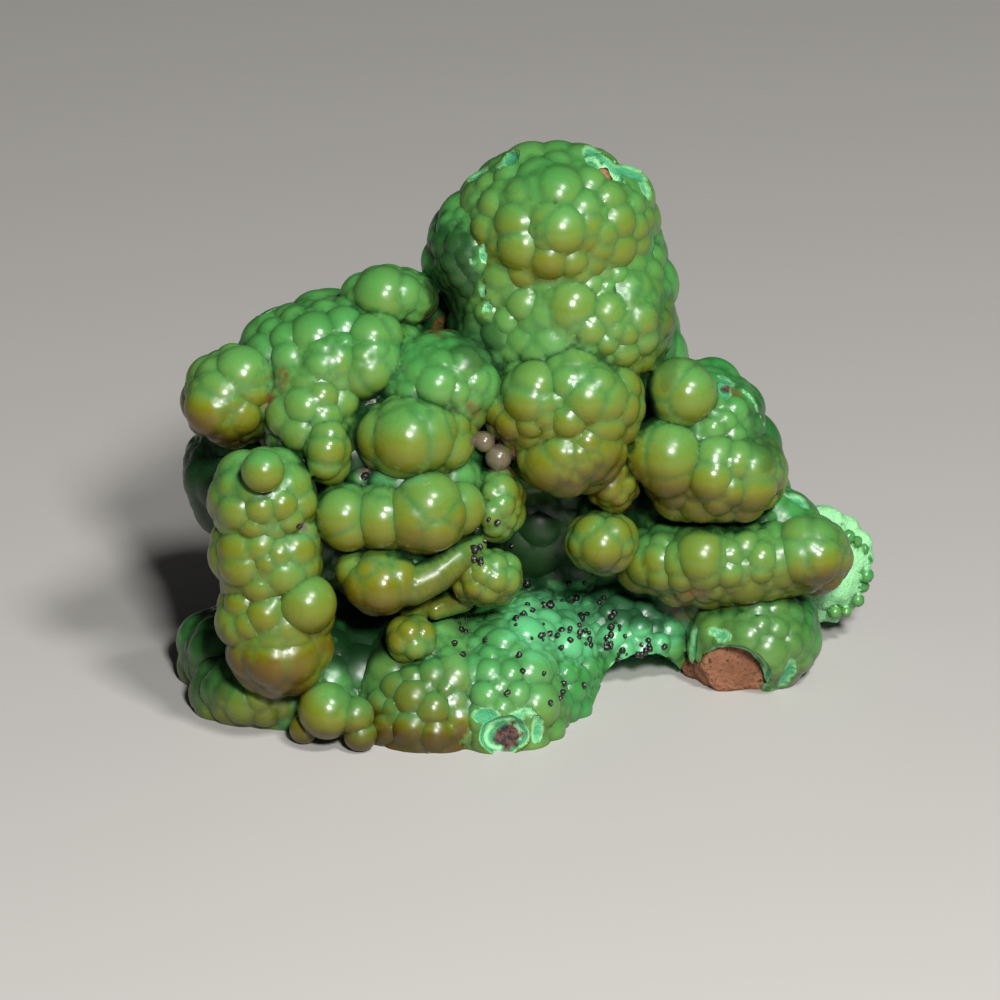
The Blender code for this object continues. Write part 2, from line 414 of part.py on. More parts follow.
def new_object(name, shape, collection):
    """Make an object from a bmesh and free the bmesh."""
    mesh = bpy.data.meshes.new(name)
    shape.to_mesh(mesh)
    shape.free()
    item = bpy.data.objects.new(name, mesh)
    collection.objects.link(item)
    return item


def make_cutter(item):
    """Mark an object as a cutter that is neither drawn nor built."""
    item.hide_render = True
    item.display_type = 'WIRE'


def evaluated_mesh(item, name):
    """Return a new mesh with the object's modifiers applied."""
    bpy.context.view_layer.update()
    graph = bpy.context.evaluated_depsgraph_get()
    return bpy.data.meshes.new_from_object(item.evaluated_get(graph), depsgraph=graph)


def apply_modifiers(item):
    """Replace the object's mesh by its evaluated one."""
    fused = evaluated_mesh(item, item.name)
    item.modifiers.clear()
    item.data = fused


def fuse_and_thin(item, voxel, triangles):
    """Fuse overlapping balls into one skin, then thin it to a triangle count."""
    remesh = item.modifiers.new("fuse", 'REMESH')
    remesh.mode = 'VOXEL'
    remesh.voxel_size = voxel * MM
    apply_modifiers(item)
    keep_largest_body(item)
    item.data.calc_loop_triangles()
    thin = item.modifiers.new("thin", 'DECIMATE')
    thin.use_collapse_triangulate = True
    thin.ratio = min(1.0, triangles / len(item.data.loop_triangles))
    apply_modifiers(item)


def keep_largest_body(item):
    """Delete every loose part of a mesh but the one with the most faces."""
    shape = bmesh.new()
    shape.from_mesh(item.data)
    unseen = set(shape.faces)
    bodies = []
    while unseen:
        start = unseen.pop()
        body = [start]
        queue = [start]
        while queue:
            face = queue.pop()
            for edge in face.edges:
                for neighbour in edge.link_faces:
                    if neighbour in unseen:
                        unseen.remove(neighbour)
                        body.append(neighbour)
                        queue.append(neighbour)
        bodies.append(body)
    bodies.sort(key=len, reverse=True)
    loose = [face for body in bodies[1:] for face in body]
    if loose:
        bmesh.ops.delete(shape, geom=loose, context='FACES')
    shape.to_mesh(item.data)
    shape.free()


def rough(point, size, seed):
    """Return a smooth pseudo-random value in about -1..1 at a point in millimetres."""
    return noise.noise(Vector(point) / size + Vector((seed * 7.3, seed * 3.1, seed * 5.7)))


def roughen(item, amount, size, seed):
    """Push a mesh in and out along its normals by a smooth random amount."""
    for vertex in item.data.vertices:
        push = rough(vertex.co / MM, size, seed) + 0.5 * rough(vertex.co / MM, size * 0.4, seed)
        vertex.co += vertex.normal * (push * amount * MM)


def back_break_depth(right, high):
    """Return how far behind the front foot the crust is broken off."""
    wing = smooth_step(WING_INNER, WING_OUTER, right) * smooth_step(WING_TOP, WING_SHOULDER, high)
    top = smooth_step(TOWER_LOW, TOWER_HIGH, high)
    return BACK_BREAK + WING_REACH * wing - TOWER_SETBACK * top


def smooth_step(low, high, value):
    """Return 0 before low and 1 past high, with a smooth rise between."""
    share = min(1.0, max(0.0, (value - low) / (high - low)))
    return share * share * (3.0 - 2.0 * share)


def back_break_cutter(name, further, collection):
    """Make the block behind a broken back, further behind than the crust's, rough in front."""
    shape = bmesh.new()
    steps = int(2 * REACH / BREAK_STEP)
    bmesh.ops.create_grid(shape, x_segments=steps, y_segments=steps, size=REACH * MM)
    bmesh.ops.triangulate(shape, faces=shape.faces[:])
    front = shape.faces[:]
    extruded = bmesh.ops.extrude_face_region(shape, geom=front)
    far = [item for item in extruded["geom"] if isinstance(item, bmesh.types.BMVert)]
    far_set = set(far)
    for vertex in shape.verts:
        right = vertex.co.x / MM
        high = vertex.co.y / MM + BREAK_MIDDLE
        depth = back_break_depth(right, high) + further
        coarse = rough((right, depth, high), BREAK_GRAIN, 1)
        fine = FINE_BREAK_SHARE * rough((right, depth, high), FINE_BREAK_GRAIN, 2)
        depth += BREAK_ROUGHNESS * (coarse + fine)
        if vertex in far_set:
            depth = FAR_SIDE
        vertex.co = upright((right, depth, high)) * MM
    bmesh.ops.recalc_face_normals(shape, faces=shape.faces[:])
    cutter = new_object(name, shape, collection)
    make_cutter(cutter)
    return cutter


def hollow_cutter(name, centre, radii, collection):
    """Make a rough ellipsoid that cuts an open hollow."""
    bodies = [(upright(centre), radii, LEVEL)]
    cutter = joined_balls("cut " + name, bodies, BALL_SUBDIVISIONS, collection)
    roughen(cutter, HOLLOW_ROUGHNESS, HOLLOW_GRAIN, 4)
    make_cutter(cutter)
    return cutter


def floor_cutter(collection):
    """Make the block under the flat that the specimen rests on."""
    shape = bmesh.new()
    bmesh.ops.create_cube(shape, size=2 * REACH * MM)
    bmesh.ops.translate(shape, verts=shape.verts[:], vec=(0.0, 0.0, -REACH * MM))
    cutter = new_object("cut floor", shape, collection)
    make_cutter(cutter)
    return cutter


def cut(item, cutter):
    """Cut one object by another with an exact Boolean."""
    boolean = item.modifiers.new(cutter.name, 'BOOLEAN')
    boolean.operation = 'DIFFERENCE'
    boolean.solver = 'EXACT'
    boolean.object = cutter


def material(name, colour, roughness):
    """Make a plain Principled material."""
    finish = bpy.data.materials.new(name)
    finish.use_nodes = True
    shader = finish.node_tree.nodes["Principled BSDF"]
    shader.inputs["Base Color"].default_value = colour
    shader.inputs["Roughness"].default_value = roughness
    shader.inputs["Metallic"].default_value = 0.0
    return finish


def build_rock(collection, cutters, floor):
    """Build the red-brown rock that the crust grew on."""
    bodies = [(upright(centre), radii, LEVEL) for _, centre, radii in ROCK_MASSES]
    rock = joined_balls("matrix_rock", bodies, ROCK_SUBDIVISIONS, collection)
    remesh = rock.modifiers.new("fuse", 'REMESH')
    remesh.mode = 'VOXEL'
    remesh.voxel_size = ROCK_VOXEL * MM
    apply_modifiers(rock)
    roughen(rock, ROCK_ROUGHNESS, ROCK_GRAIN, 5)
    fuse_and_thin(rock, ROCK_VOXEL, ROCK_TRIANGLES)
    seam = bpy.data.objects.new("cut rock seam", rock.data.copy())
    cutters.objects.link(seam)
    for vertex in seam.data.vertices:
        vertex.co += vertex.normal * (ROCK_GAP * MM)
    make_cutter(seam)
    cut(rock, back_break_cutter("cut rock back", ROCK_STANDS_OUT, cutters))
    cut(rock, floor)
    rock.data.materials.append(material("ironstone", ROCK_BROWN, 0.9))
    return rock, seam


def build_crust(collection, cutters, floor, rock_seam):
    """Build the grown malachite crust and break it where the real one is broken."""
    balls, bodies = crust_balls()
    bodies += [(centre, (radius, radius, radius), LEVEL) for centre, radius in balls]
    crust = joined_balls("malachite_crust", bodies, BALL_SUBDIVISIONS, collection)
    fuse_and_thin(crust, CRUST_VOXEL, CRUST_TRIANGLES)
    cut(crust, back_break_cutter("cut crust back", 0.0, cutters))
    for name, centre, radii in HOLLOWS:
        cut(crust, hollow_cutter(name, centre, radii, cutters))
    cut(crust, rock_seam)
    cut(crust, floor)
    crust.data.materials.append(material("malachite", MALACHITE_GREEN, 0.25))
    return crust


def build():
    """Build the specimen's two solids and group their cutters apart."""
    clear_scene()
    specimen = bpy.data.collections.new("malachite_specimen")
    cutters = bpy.data.collections.new("cutters")
    bpy.context.scene.collection.children.link(specimen)
    bpy.context.scene.collection.children.link(cutters)
    floor = floor_cutter(cutters)
    _, rock_seam = build_rock(specimen, cutters, floor)
    build_crust(specimen, cutters, floor, rock_seam)


build()
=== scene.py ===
"""Botryoidal malachite specimen, dressed: the grown crust with its lumps, breaks and stains,
the ironstone behind it and the fine dark grains that lie on it, on a pale studio floor.

Shapes are charted in millimetres. The face of the specimen leans back by FACE_TILT: "across"
runs to the right, "up" runs up the leaning face, "behind" is the level distance back from the
front foot. Meshes are in metres, +Z up, with the origin under the middle of the specimen.
"""

import logging
import math
from dataclasses import dataclass, field, replace
from enum import Enum
from typing import Callable, Iterable, Sequence

import bpy
import numpy as np
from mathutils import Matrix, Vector


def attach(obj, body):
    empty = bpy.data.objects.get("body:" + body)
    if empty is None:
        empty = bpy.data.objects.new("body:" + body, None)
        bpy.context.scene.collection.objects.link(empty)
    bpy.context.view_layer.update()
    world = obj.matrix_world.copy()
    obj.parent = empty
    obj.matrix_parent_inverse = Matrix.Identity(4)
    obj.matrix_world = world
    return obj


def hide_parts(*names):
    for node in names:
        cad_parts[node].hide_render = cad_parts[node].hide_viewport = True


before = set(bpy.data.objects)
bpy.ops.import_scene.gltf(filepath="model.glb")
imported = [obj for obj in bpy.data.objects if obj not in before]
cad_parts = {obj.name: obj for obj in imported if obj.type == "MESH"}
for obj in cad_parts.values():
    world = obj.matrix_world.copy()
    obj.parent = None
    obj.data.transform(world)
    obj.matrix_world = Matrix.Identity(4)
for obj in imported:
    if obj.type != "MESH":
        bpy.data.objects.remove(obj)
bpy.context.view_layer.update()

MM = 0.001
BODY = "root"
FACE_TILT = math.radians(22.0)
ORIGIN_SHIFT = np.array((0.0, -27.0, 0.0))
TINY = 1e-6                             # keeps a division clear of zero

Pair = tuple[float, float]
Triple = tuple[float, float, float]
Colour = tuple[float, float, float, float]
Grid = np.ndarray
Ball = tuple[Grid, float]
Gap = Callable[[Grid], Grid]
Socket = bpy.types.NodeSocket
log = logging.getLogger("malachite")


@dataclass(frozen=True)
class Lobe:
    """One swelling of the crust, an ellipsoid that carries lumps.

    A leaning lobe's centre is (across, up, behind) and its radii (across, up, out). An upright
    one's centre is (right, back, high). "stand" is how far its lumps stand out, in lump radii,
    and "fill" the usual radius of the lumps that cover what the chart leaves bare. Each charted
    lump is (across, up, radius of its visible cell).
    """

    name: str
    centre: Triple
    radii: Triple
    stand: float
    fill: float
    lumps: tuple[Triple, ...] = ()


class Lean(Enum):
    """How a lobe stands."""

    LEANING = "with the face"
    UPRIGHT = "straight up"


@dataclass(frozen=True)
class Hollow:
    """A rough ellipsoid bite out of the crust: centre (right, back, high) and radii."""

    name: str
    centre: Triple
    radii: Triple


@dataclass(frozen=True)
class Patch:
    """A round patch of colour on the face: (across, up), radii, and how strong it is.

    It colours only what lies more than "beyond" millimetres behind the front foot.
    """

    across: float
    up: float
    wide: float
    tall: float
    strength: float = 1.0
    beyond: float = 0.0


@dataclass(frozen=True)
class Chip:
    """A shallow chip in the face: (across, up), half-widths, and how deep it is."""

    across: float
    up: float
    wide: float
    tall: float
    deep: float


# Sizes in millimetres.
CELL_REACH = 1.18                       # how far a lump's ball spreads past its visible cell
MOST_REACH = 0.96                       # a lump spans at most this share of its lobe
FILL_TRIES = 6.0                        # tries for each fill lump that the surface could take
FILL_LARGE = 1.6                        # the first fill lumps' radius, over the usual one
FILL_SMALL = 0.65                       # and the last ones'
FILL_GROWTH = 1.3                       # a fill lump's radius, for each millimetre of room
LUMP_OVERLAP = 0.70                     # how far a lump keeps its neighbours' middles off
SMALLEST_FILL = 1.0                     # a fill lump smaller than this is left out
FILL_STAND = 0.62                       # how far a fill lump stands out, over a charted one
BUD_FROM = 4.4                          # a ball at least this large has buds
BUD_SHARE = 0.50                        # a bud's usual radius, over the ball's
BUD_STAND = 0.26                        # how far a bud stands out, in its own radii
BUD_SEAT = 0.94                         # the ball under the buds, over the bare one
BUD_SEEDS = 100                         # each lobe has so many seeds for its lumps' buds
ROLL_SPACING = 0.35                     # distance between the balls of a roll, in radii
BACK_BREAK = 46.5                       # the crust is broken off this far behind its foot
WING_REACH = 10.5                       # and this much further behind the low right wing
WING_SIDE = (34.0, 42.0)                # the wing begins between these, to the right
WING_HEIGHT = (14.0, 24.0)              # and ends between these heights
TOWER_SETBACK = 4.5                     # the tower's top is broken off this much nearer
TOWER_SPAN = (50.0, 76.0)               # the setback begins and is whole at these heights
ROCK_STANDS_OUT = 5.5                   # the rock is broken off this far behind the crust
WING_ROUGHNESS = 1.5                    # how far noise moves each kind of broken face
BREAK_ROUGHNESS = 0.9
HOLLOW_ROUGHNESS = 0.6
CHIP_ROUGHNESS = 0.16
ROUGH_REACH = 2.5                       # noise is only worked out this near a broken face
ROCK_GAP = 0.3                          # open seam between the crust and the rock
SLANT_LIMIT = 0.4                       # a chip seen at a slant is lengthened up to 1 / this
CHIP_NOISE = 2.0                        # a chip's noise is finer than a break's by this much
CHIP_LIFT = 0.1                         # a chip's dish has its middle this far off the skin
SIGHT_DEPTH = 60.0                      # the skin is looked for this far behind the front foot
SIGHT_STEP = 0.25
FACE_BACK = 25.4                        # the rock's bared face is this far behind the foot
FACE_MIDDLE = 29.0                      # at this far to the right
FACE_TURN = 0.16                        # and further back to the right, for each millimetre
FACE_RAKE = -0.10                       # and further back upwards
FACE_TOP = 14.0                         # it ends at this height
FACE_CLEAR = 10.0                       # and this far in front of the crust's broken back
FACE_ROUGHNESS = 0.7
CRUST_SPAN = ((-56.0, -32.0, -2.0), (56.0, 34.0, 86.0))     # the box that holds the crust
ROCK_SPAN = ((-50.0, -32.0, -2.0), (50.0, 34.0, 86.0))      # and the rock

# How a skin is worked out. A step is the spacing of the grid points.
FINE_STEP = 0.55                        # the crust's step, in millimetres
FIELD_REACH = 2.6                       # the field is worked out this many steps off the skin
CUT_REACH = 2.0                         # and cut back this many steps off it
WALL_GAP = 0.5                          # the box's own sides are this many steps outside
SETTLE_ROUNDS = 12
SETTLE_GAP = -1e-3                      # a filled corner's distance, in steps: just inside
SQUARE = ((0, 0), (1, 0), (0, 1), (1, 1))
BISECTIONS = 6
SLOPE_REACH = 0.05                      # a cut's slope is measured this far to each side
SLOPE_STEPS = 2.0                       # and a grid's slope this many steps
FLATNESS = 0.06                         # below this share a direction counts as flat
CELL_SLACK = 0.15                       # how far a corner may leave its cell, in steps
CREASE_ANGLE = math.radians(36.0)       # a fold sharper than this is shaded as a crease
NEIGHBOURS = ((0, 0, 0), (1, 0, 0), (0, 1, 0), (0, 0, 1), (1, 1, 0), (1, 0, 1), (0, 1, 1),
              (1, 1, 1), (-1, 0, 0), (0, -1, 0), (0, 0, -1), (2, 1, 1), (1, 2, 1), (1, 1, 2))

# Layers of noise, each a weight, a cell in millimetres and which noise.
CRAG_LAYERS = ((0.60, 4.6, 11), (0.40, 2.0, 12), (0.22, 0.95, 13))
PATCH_LAYERS = ((1.0, 1.3, 31), (0.5, 0.6, 32))
PATCH_FADE = (0.75, 1.05)               # a patch fades out between these shares of its radii
PATCH_DEPTH_FADE = 1.5                  # and over this far each side of its depth limit
HASH_STEPS = np.array((374761393, 668265263, 2147483647), dtype=np.int64)
HASH_FACTOR = 1274126177
HASH_MASK = 0xFFFFFFFF

# Lobes that lean with the face.
LOBES = (
    Lobe("tower head", (4.4, 76.4, 35.4), (13.8, 10.6, 12.4), 0.46, 2.1, (
        (4.4, 85.4, 2.2), (9.4, 82.6, 2.3), (13.6, 76.6, 2.6), (12.2, 80.2, 2.4),
        (16.2, 75.8, 2.0), (16.4, 72.9, 2.2), (15.8, 79.2, 1.8), (17.6, 77.2, 1.6),
        (-6.2, 75.4, 2.2), (-8.4, 75.2, 1.7), (-7.4, 79.8, 1.7), (-5.0, 79.2, 2.1),
        (-5.8, 82.2, 2.0), (-2.6, 83.6, 2.1), (-7.0, 70.8, 1.3), (-6.4, 72.8, 1.4))),
    Lobe("tower middle", (3.8, 75.0, 32.0), (10.6, 9.8, 9.6), 0.50, 1.7, (
        (4.2, 81.6, 3.8), (-0.6, 80.6, 3.0), (8.6, 78.6, 3.3), (4.4, 75.4, 3.6),
        (-1.8, 76.6, 3.0), (-1.3, 72.6, 3.0), (-0.7, 68.3, 2.2), (3.3, 70.8, 2.7),
        (6.8, 70.4, 2.1), (10.0, 70.2, 1.9), (9.2, 74.6, 2.4), (11.5, 75.4, 1.8),
        (-4.6, 70.2, 1.9))),
    Lobe("tower left flank", (-6.4, 72.6, 36.5), (7.2, 8.4, 9.8), 0.45, 1.8, (
        (-8.9, 77.8, 1.6), (-11.2, 76.4, 2.2), (-12.2, 73.4, 2.1), (-10.2, 73.4, 1.8),
        (-10.8, 70.8, 1.7), (-8.6, 71.6, 1.5), (-9.6, 68.4, 1.6), (-7.6, 66.6, 1.9))),
    Lobe("tower trunk", (5.0, 66.4, 34.4), (15.4, 18.4, 12.8), 0.48, 2.0, (
        (15.6, 66.4, 3.0), (18.4, 69.4, 2.0), (19.6, 67.0, 2.1), (19.0, 71.8, 1.8),
        (11.7, 67.2, 1.2), (13.4, 69.0, 1.4), (-0.5, 64.8, 2.2), (-4.8, 66.4, 1.9),
        (-5.8, 63.6, 1.8), (-7.6, 62.0, 1.8), (-3.0, 62.4, 1.7))),
    Lobe("tower waist", (9.0, 62.6, 31.2), (11.8, 10.2, 10.8), 0.46, 2.1, (
        (6.0, 65.0, 3.9), (4.4, 62.2, 3.0), (11.7, 63.9, 2.4), (12.9, 61.2, 1.6),
        (9.0, 61.2, 2.3), (17.0, 62.8, 2.5), (17.4, 59.6, 2.0), (20.0, 62.2, 1.9),
        (20.2, 65.2, 1.7), (20.2, 59.0, 1.5), (1.2, 61.2, 2.0), (-1.6, 61.0, 1.8),
        (5.9, 60.2, 1.8), (11.7, 59.2, 1.5), (14.6, 60.6, 1.7), (14.4, 57.6, 1.9),
        (18.6, 56.8, 1.8), (2.4, 58.2, 1.9), (-0.8, 57.8, 2.0))),
    Lobe("tower bulge", (5.4, 50.8, 23.5), (11.2, 8.4, 8.8), 0.52, 1.8, (
        (6.9, 55.2, 3.7), (10.2, 52.6, 3.9), (14.6, 53.8, 2.5), (14.3, 50.2, 2.6),
        (0.6, 52.7, 3.5), (4.3, 51.3, 1.2), (7.0, 50.0, 1.8), (6.2, 48.0, 2.3),
        (-3.6, 56.6, 1.9), (-5.0, 54.0, 1.8), (-4.8, 50.6, 2.6), (-2.6, 47.6, 2.2),
        (-4.6, 47.2, 1.6), (0.4, 47.6, 1.9), (2.6, 48.6, 1.6), (2.2, 57.0, 1.6))),
    Lobe("bulge tip", (6.4, 44.2, 21.0), (7.8, 6.0, 6.4), 0.46, 1.8, (
        (8.6, 45.4, 4.4), (4.8, 41.6, 4.2), (0.4, 42.4, 2.3), (12.0, 46.4, 2.4),
        (9.8, 42.4, 2.5), (1.6, 45.4, 2.0))),
    Lobe("bulge tail", (12.6, 39.8, 25.0), (3.4, 3.8, 4.4), 0.50, 1.5, (
        (12.6, 42.0, 2.0), (11.6, 38.6, 1.9), (13.4, 37.4, 1.5), (9.8, 37.4, 1.5),
        (14.9, 39.2, 1.4), (16.2, 38.0, 1.2))),
    Lobe("left shoulder", (-27.0, 56.8, 29.2), (13.8, 9.0, 11.8), 0.50, 2.1, (
        (-38.0, 57.8, 2.9), (-41.0, 57.2, 2.3), (-38.4, 54.0, 3.3), (-34.2, 60.4, 2.2),
        (-33.9, 57.4, 2.2), (-33.6, 54.6, 2.1), (-30.2, 61.4, 3.0), (-25.6, 62.8, 2.6),
        (-28.0, 56.6, 3.3), (-26.4, 53.6, 2.5), (-29.8, 52.4, 2.4), (-21.0, 61.0, 3.3),
        (-21.7, 56.4, 3.8), (-29.0, 59.2, 1.6), (-25.6, 59.4, 1.5), (-16.4, 58.6, 1.8),
        (-16.0, 62.0, 2.0), (-13.2, 58.2, 2.0), (-13.2, 61.4, 1.7), (-17.2, 54.6, 1.7),
        (-33.0, 63.6, 1.8), (-36.4, 61.6, 1.9), (-28.6, 64.6, 1.8), (-32.4, 52.2, 1.6),
        (-19.0, 53.0, 1.6), (-14.8, 55.4, 1.5))),
    Lobe("shoulder knob", (-19.4, 65.8, 31.4), (6.4, 4.2, 6.4), 0.52, 1.7, (
        (-20.6, 67.2, 3.6), (-17.0, 66.8, 2.5), (-14.6, 65.4, 2.1), (-15.6, 63.2, 1.8),
        (-24.2, 64.6, 2.1), (-18.6, 63.6, 1.9), (-22.0, 63.0, 1.8))),
    Lobe("shoulder corner", (-41.4, 51.8, 24.0), (6.8, 6.6, 7.4), 0.52, 1.8, (
        (-38.9, 55.4, 4.0), (-44.6, 50.0, 4.2), (-40.2, 48.6, 2.8), (-43.4, 46.4, 2.2),
        (-46.8, 47.4, 1.8), (-44.4, 55.6, 2.4), (-47.2, 52.8, 1.8), (-36.2, 50.2, 2.2),
        (-41.6, 58.4, 2.0), (-36.0, 58.8, 1.8))),
    Lobe("shoulder foot", (-30.0, 50.0, 24.0), (7.6, 9.6, 10.4), 0.46, 2.1, (
        (-31.6, 50.4, 2.5), (-35.0, 48.8, 2.7), (-32.4, 46.4, 2.6), (-24.8, 51.4, 2.3),
        (-28.0, 48.6, 2.2), (-35.8, 45.2, 1.8), (-28.4, 52.0, 2.0), (-29.6, 43.8, 1.8))),
    Lobe("folded drop", (-28.0, 44.4, 15.5), (3.0, 4.4, 5.0), 0.46, 1.7, (
        (-27.2, 47.0, 2.2), (-28.2, 44.2, 2.3), (-29.0, 41.6, 2.1))),
    Lobe("upper middle", (-15.8, 46.2, 19.0), (8.6, 6.2, 8.2), 0.40, 1.6, (
        (-16.4, 45.9, 4.7), (-21.6, 46.0, 3.2), (-11.8, 47.6, 2.6), (-9.0, 43.8, 2.7),
        (-9.0, 48.0, 1.9), (-13.6, 50.6, 1.9), (-18.4, 51.0, 2.0), (-22.8, 49.6, 1.6))),
    Lobe("saddle", (-12.2, 53.6, 24.0), (8.6, 6.8, 8.8), 0.46, 1.9, (
        (-12.6, 53.2, 2.7), (-16.8, 51.8, 2.0), (-9.2, 52.0, 1.7), (-8.1, 57.0, 2.5),
        (-5.9, 57.6, 1.6), (-9.0, 50.0, 1.4))),
    Lobe("side bunch", (-4.2, 36.6, 19.5), (3.8, 5.2, 5.4), 0.55, 1.4, (
        (-5.3, 35.0, 1.9), (-4.8, 38.4, 1.4), (-3.0, 36.4, 1.7), (-1.9, 34.2, 1.2),
        (-6.3, 40.2, 1.3), (-4.6, 33.0, 1.5))),
    Lobe("lip bunch", (-5.6, 26.2, 15.5), (5.0, 3.8, 5.2), 0.55, 1.3, (
        (-8.3, 27.1, 1.5), (-6.0, 27.5, 1.8), (-4.0, 28.3, 1.7), (-3.9, 25.9, 1.7),
        (-1.8, 28.3, 1.7), (-1.9, 25.7, 1.8), (-1.2, 29.8, 1.2), (-9.4, 24.5, 1.3),
        (-7.4, 24.4, 1.5), (-5.4, 23.6, 1.6))),
    Lobe("hanging bunch", (-16.2, 17.5, 11.0), (3.2, 3.0, 3.4), 0.55, 1.3, (
        (-18.2, 17.0, 1.7), (-16.5, 18.6, 1.6), (-13.9, 18.3, 1.6), (-15.4, 16.0, 1.7),
        (-13.6, 16.4, 1.4))),
    Lobe("column head", (-36.9, 37.2, 12.0), (7.1, 6.8, 6.2), 0.46, 2.0, (
        (-41.9, 39.4, 2.3), (-40.8, 41.4, 1.5), (-41.4, 35.4, 2.6), (-37.3, 35.9, 2.1),
        (-33.9, 36.4, 2.0), (-30.6, 36.6, 2.2), (-32.6, 34.1, 1.9), (-38.6, 33.0, 1.8))),
    Lobe("column waist", (-36.4, 29.6, 11.0), (7.5, 7.2, 6.0), 0.46, 2.0, (
        (-41.0, 30.4, 3.1), (-40.9, 27.6, 2.9), (-37.6, 31.0, 2.4), (-36.4, 28.4, 1.6),
        (-34.4, 29.6, 2.1), (-31.8, 30.2, 2.7))),
    Lobe("column shaft", (-35.6, 21.8, 10.2), (7.4, 8.2, 6.2), 0.44, 2.0, (
        (-41.0, 22.6, 2.2), (-39.0, 24.2, 1.5), (-37.3, 23.8, 1.7), (-37.0, 20.8, 2.3),
        (-35.6, 22.4, 1.4), (-39.8, 19.4, 2.0), (-33.0, 25.7, 1.3), (-37.0, 25.6, 1.3))),
    Lobe("column core", (-36.4, 28.4, 13.0), (6.2, 14.0, 6.4), 0.30, 0.0, ()),
    Lobe("column foot", (-35.0, 16.0, 9.5), (6.8, 6.2, 6.0), 0.28, 2.0, (
        (-38.0, 16.2, 3.6), (-33.4, 15.8, 4.0), (-35.2, 13.6, 3.8), (-34.6, 18.2, 2.8))),
    Lobe("left foot", (-37.2, 9.4, 21.4), (10.0, 6.2, 12.0), 0.46, 1.9, (
        (-45.2, 10.4, 2.1), (-42.8, 9.4, 2.0), (-40.7, 7.2, 2.5), (-37.0, 6.2, 2.1),
        (-33.8, 6.8, 1.9), (-33.6, 4.4, 1.5), (-38.0, 9.2, 2.0))),
    Lobe("left heel", (-43.4, 14.8, 31.0), (6.0, 6.2, 10.2), 0.46, 2.2, (
        (-46.8, 15.8, 2.6), (-45.4, 19.0, 2.2), (-47.0, 12.4, 1.8))),
    Lobe("lip", (-19.6, 25.6, 13.0), (6.4, 4.0, 6.0), 0.30, 0.0, (
        (-21.8, 26.4, 3.6), (-17.4, 25.4, 2.8), (-19.8, 23.2, 2.2), (-23.6, 24.2, 2.0),
        (-14.8, 24.6, 2.0))),
    Lobe("double ball core", (-17.0, 35.4, 16.5), (11.0, 5.6, 6.5), 0.30, 0.0, ()),
    Lobe("ball bunch", (11.0, 31.0, 22.5), (5.0, 4.2, 5.2), 0.46, 1.5, (
        (9.0, 33.1, 2.5), (13.2, 32.8, 2.3), (10.8, 30.2, 2.9), (7.4, 30.8, 1.9),
        (11.2, 28.2, 1.8), (14.4, 30.6, 1.6))),
    Lobe("right crown", (25.6, 47.2, 31.5), (8.4, 7.8, 9.0), 0.48, 1.6, (
        (25.6, 54.0, 2.9), (27.2, 51.6, 1.4), (30.4, 50.4, 1.9), (33.4, 47.8, 1.7),
        (30.2, 46.2, 1.5), (26.9, 47.4, 1.6), (34.6, 45.4, 1.6), (28.8, 48.6, 1.5),
        (32.0, 53.0, 1.5), (18.6, 50.2, 1.8))),
    Lobe("right cheek", (27.2, 41.0, 27.6), (9.8, 6.8, 8.0), 0.52, 1.9, (
        (26.8, 44.2, 3.2), (26.4, 40.2, 3.1), (30.4, 43.2, 2.7), (33.2, 42.0, 3.0),
        (33.2, 38.2, 3.2), (32.0, 35.4, 2.5), (29.4, 38.2, 2.2), (27.4, 36.6, 2.2),
        (35.6, 41.0, 1.7), (35.4, 36.6, 1.6), (25.8, 38.2, 1.7))),
    Lobe("arm", (28.6, 28.4, 29.5), (14.6, 6.2, 8.0), 0.52, 1.8, (
        (16.4, 27.4, 2.5), (18.6, 28.6, 2.3), (19.0, 26.0, 2.2), (19.2, 31.2, 1.8),
        (17.2, 30.9, 1.8), (22.0, 28.4, 2.5), (22.2, 25.8, 2.1), (25.2, 29.8, 3.6),
        (23.4, 32.2, 1.8), (26.6, 32.6, 2.2), (31.6, 31.2, 2.0), (34.0, 29.0, 2.2),
        (29.2, 26.6, 2.0), (33.8, 26.8, 1.7), (23.0, 23.4, 1.5), (29.4, 29.6, 1.9))),
    Lobe("arm end", (41.2, 29.2, 31.0), (5.6, 5.2, 7.2), 0.50, 1.6, (
        (38.6, 30.2, 4.1), (40.8, 29.4, 4.1), (44.4, 31.4, 2.4), (45.0, 28.4, 2.5),
        (43.8, 25.4, 2.3), (40.6, 25.2, 1.9), (37.6, 26.8, 1.6))),
    Lobe("right block", (33.2, 17.2, 31.5), (9.2, 7.6, 10.0), 0.46, 1.7, (
        (33.2, 22.6, 2.8), (30.6, 23.0, 2.1), (27.6, 23.0, 2.1), (36.0, 22.4, 2.4),
        (38.6, 21.4, 1.9), (40.8, 20.6, 1.8), (40.6, 17.2, 1.8), (38.6, 16.2, 1.7),
        (36.4, 18.8, 1.6), (40.4, 13.6, 1.7), (33.8, 19.4, 1.5), (38.4, 12.4, 1.5))),
)

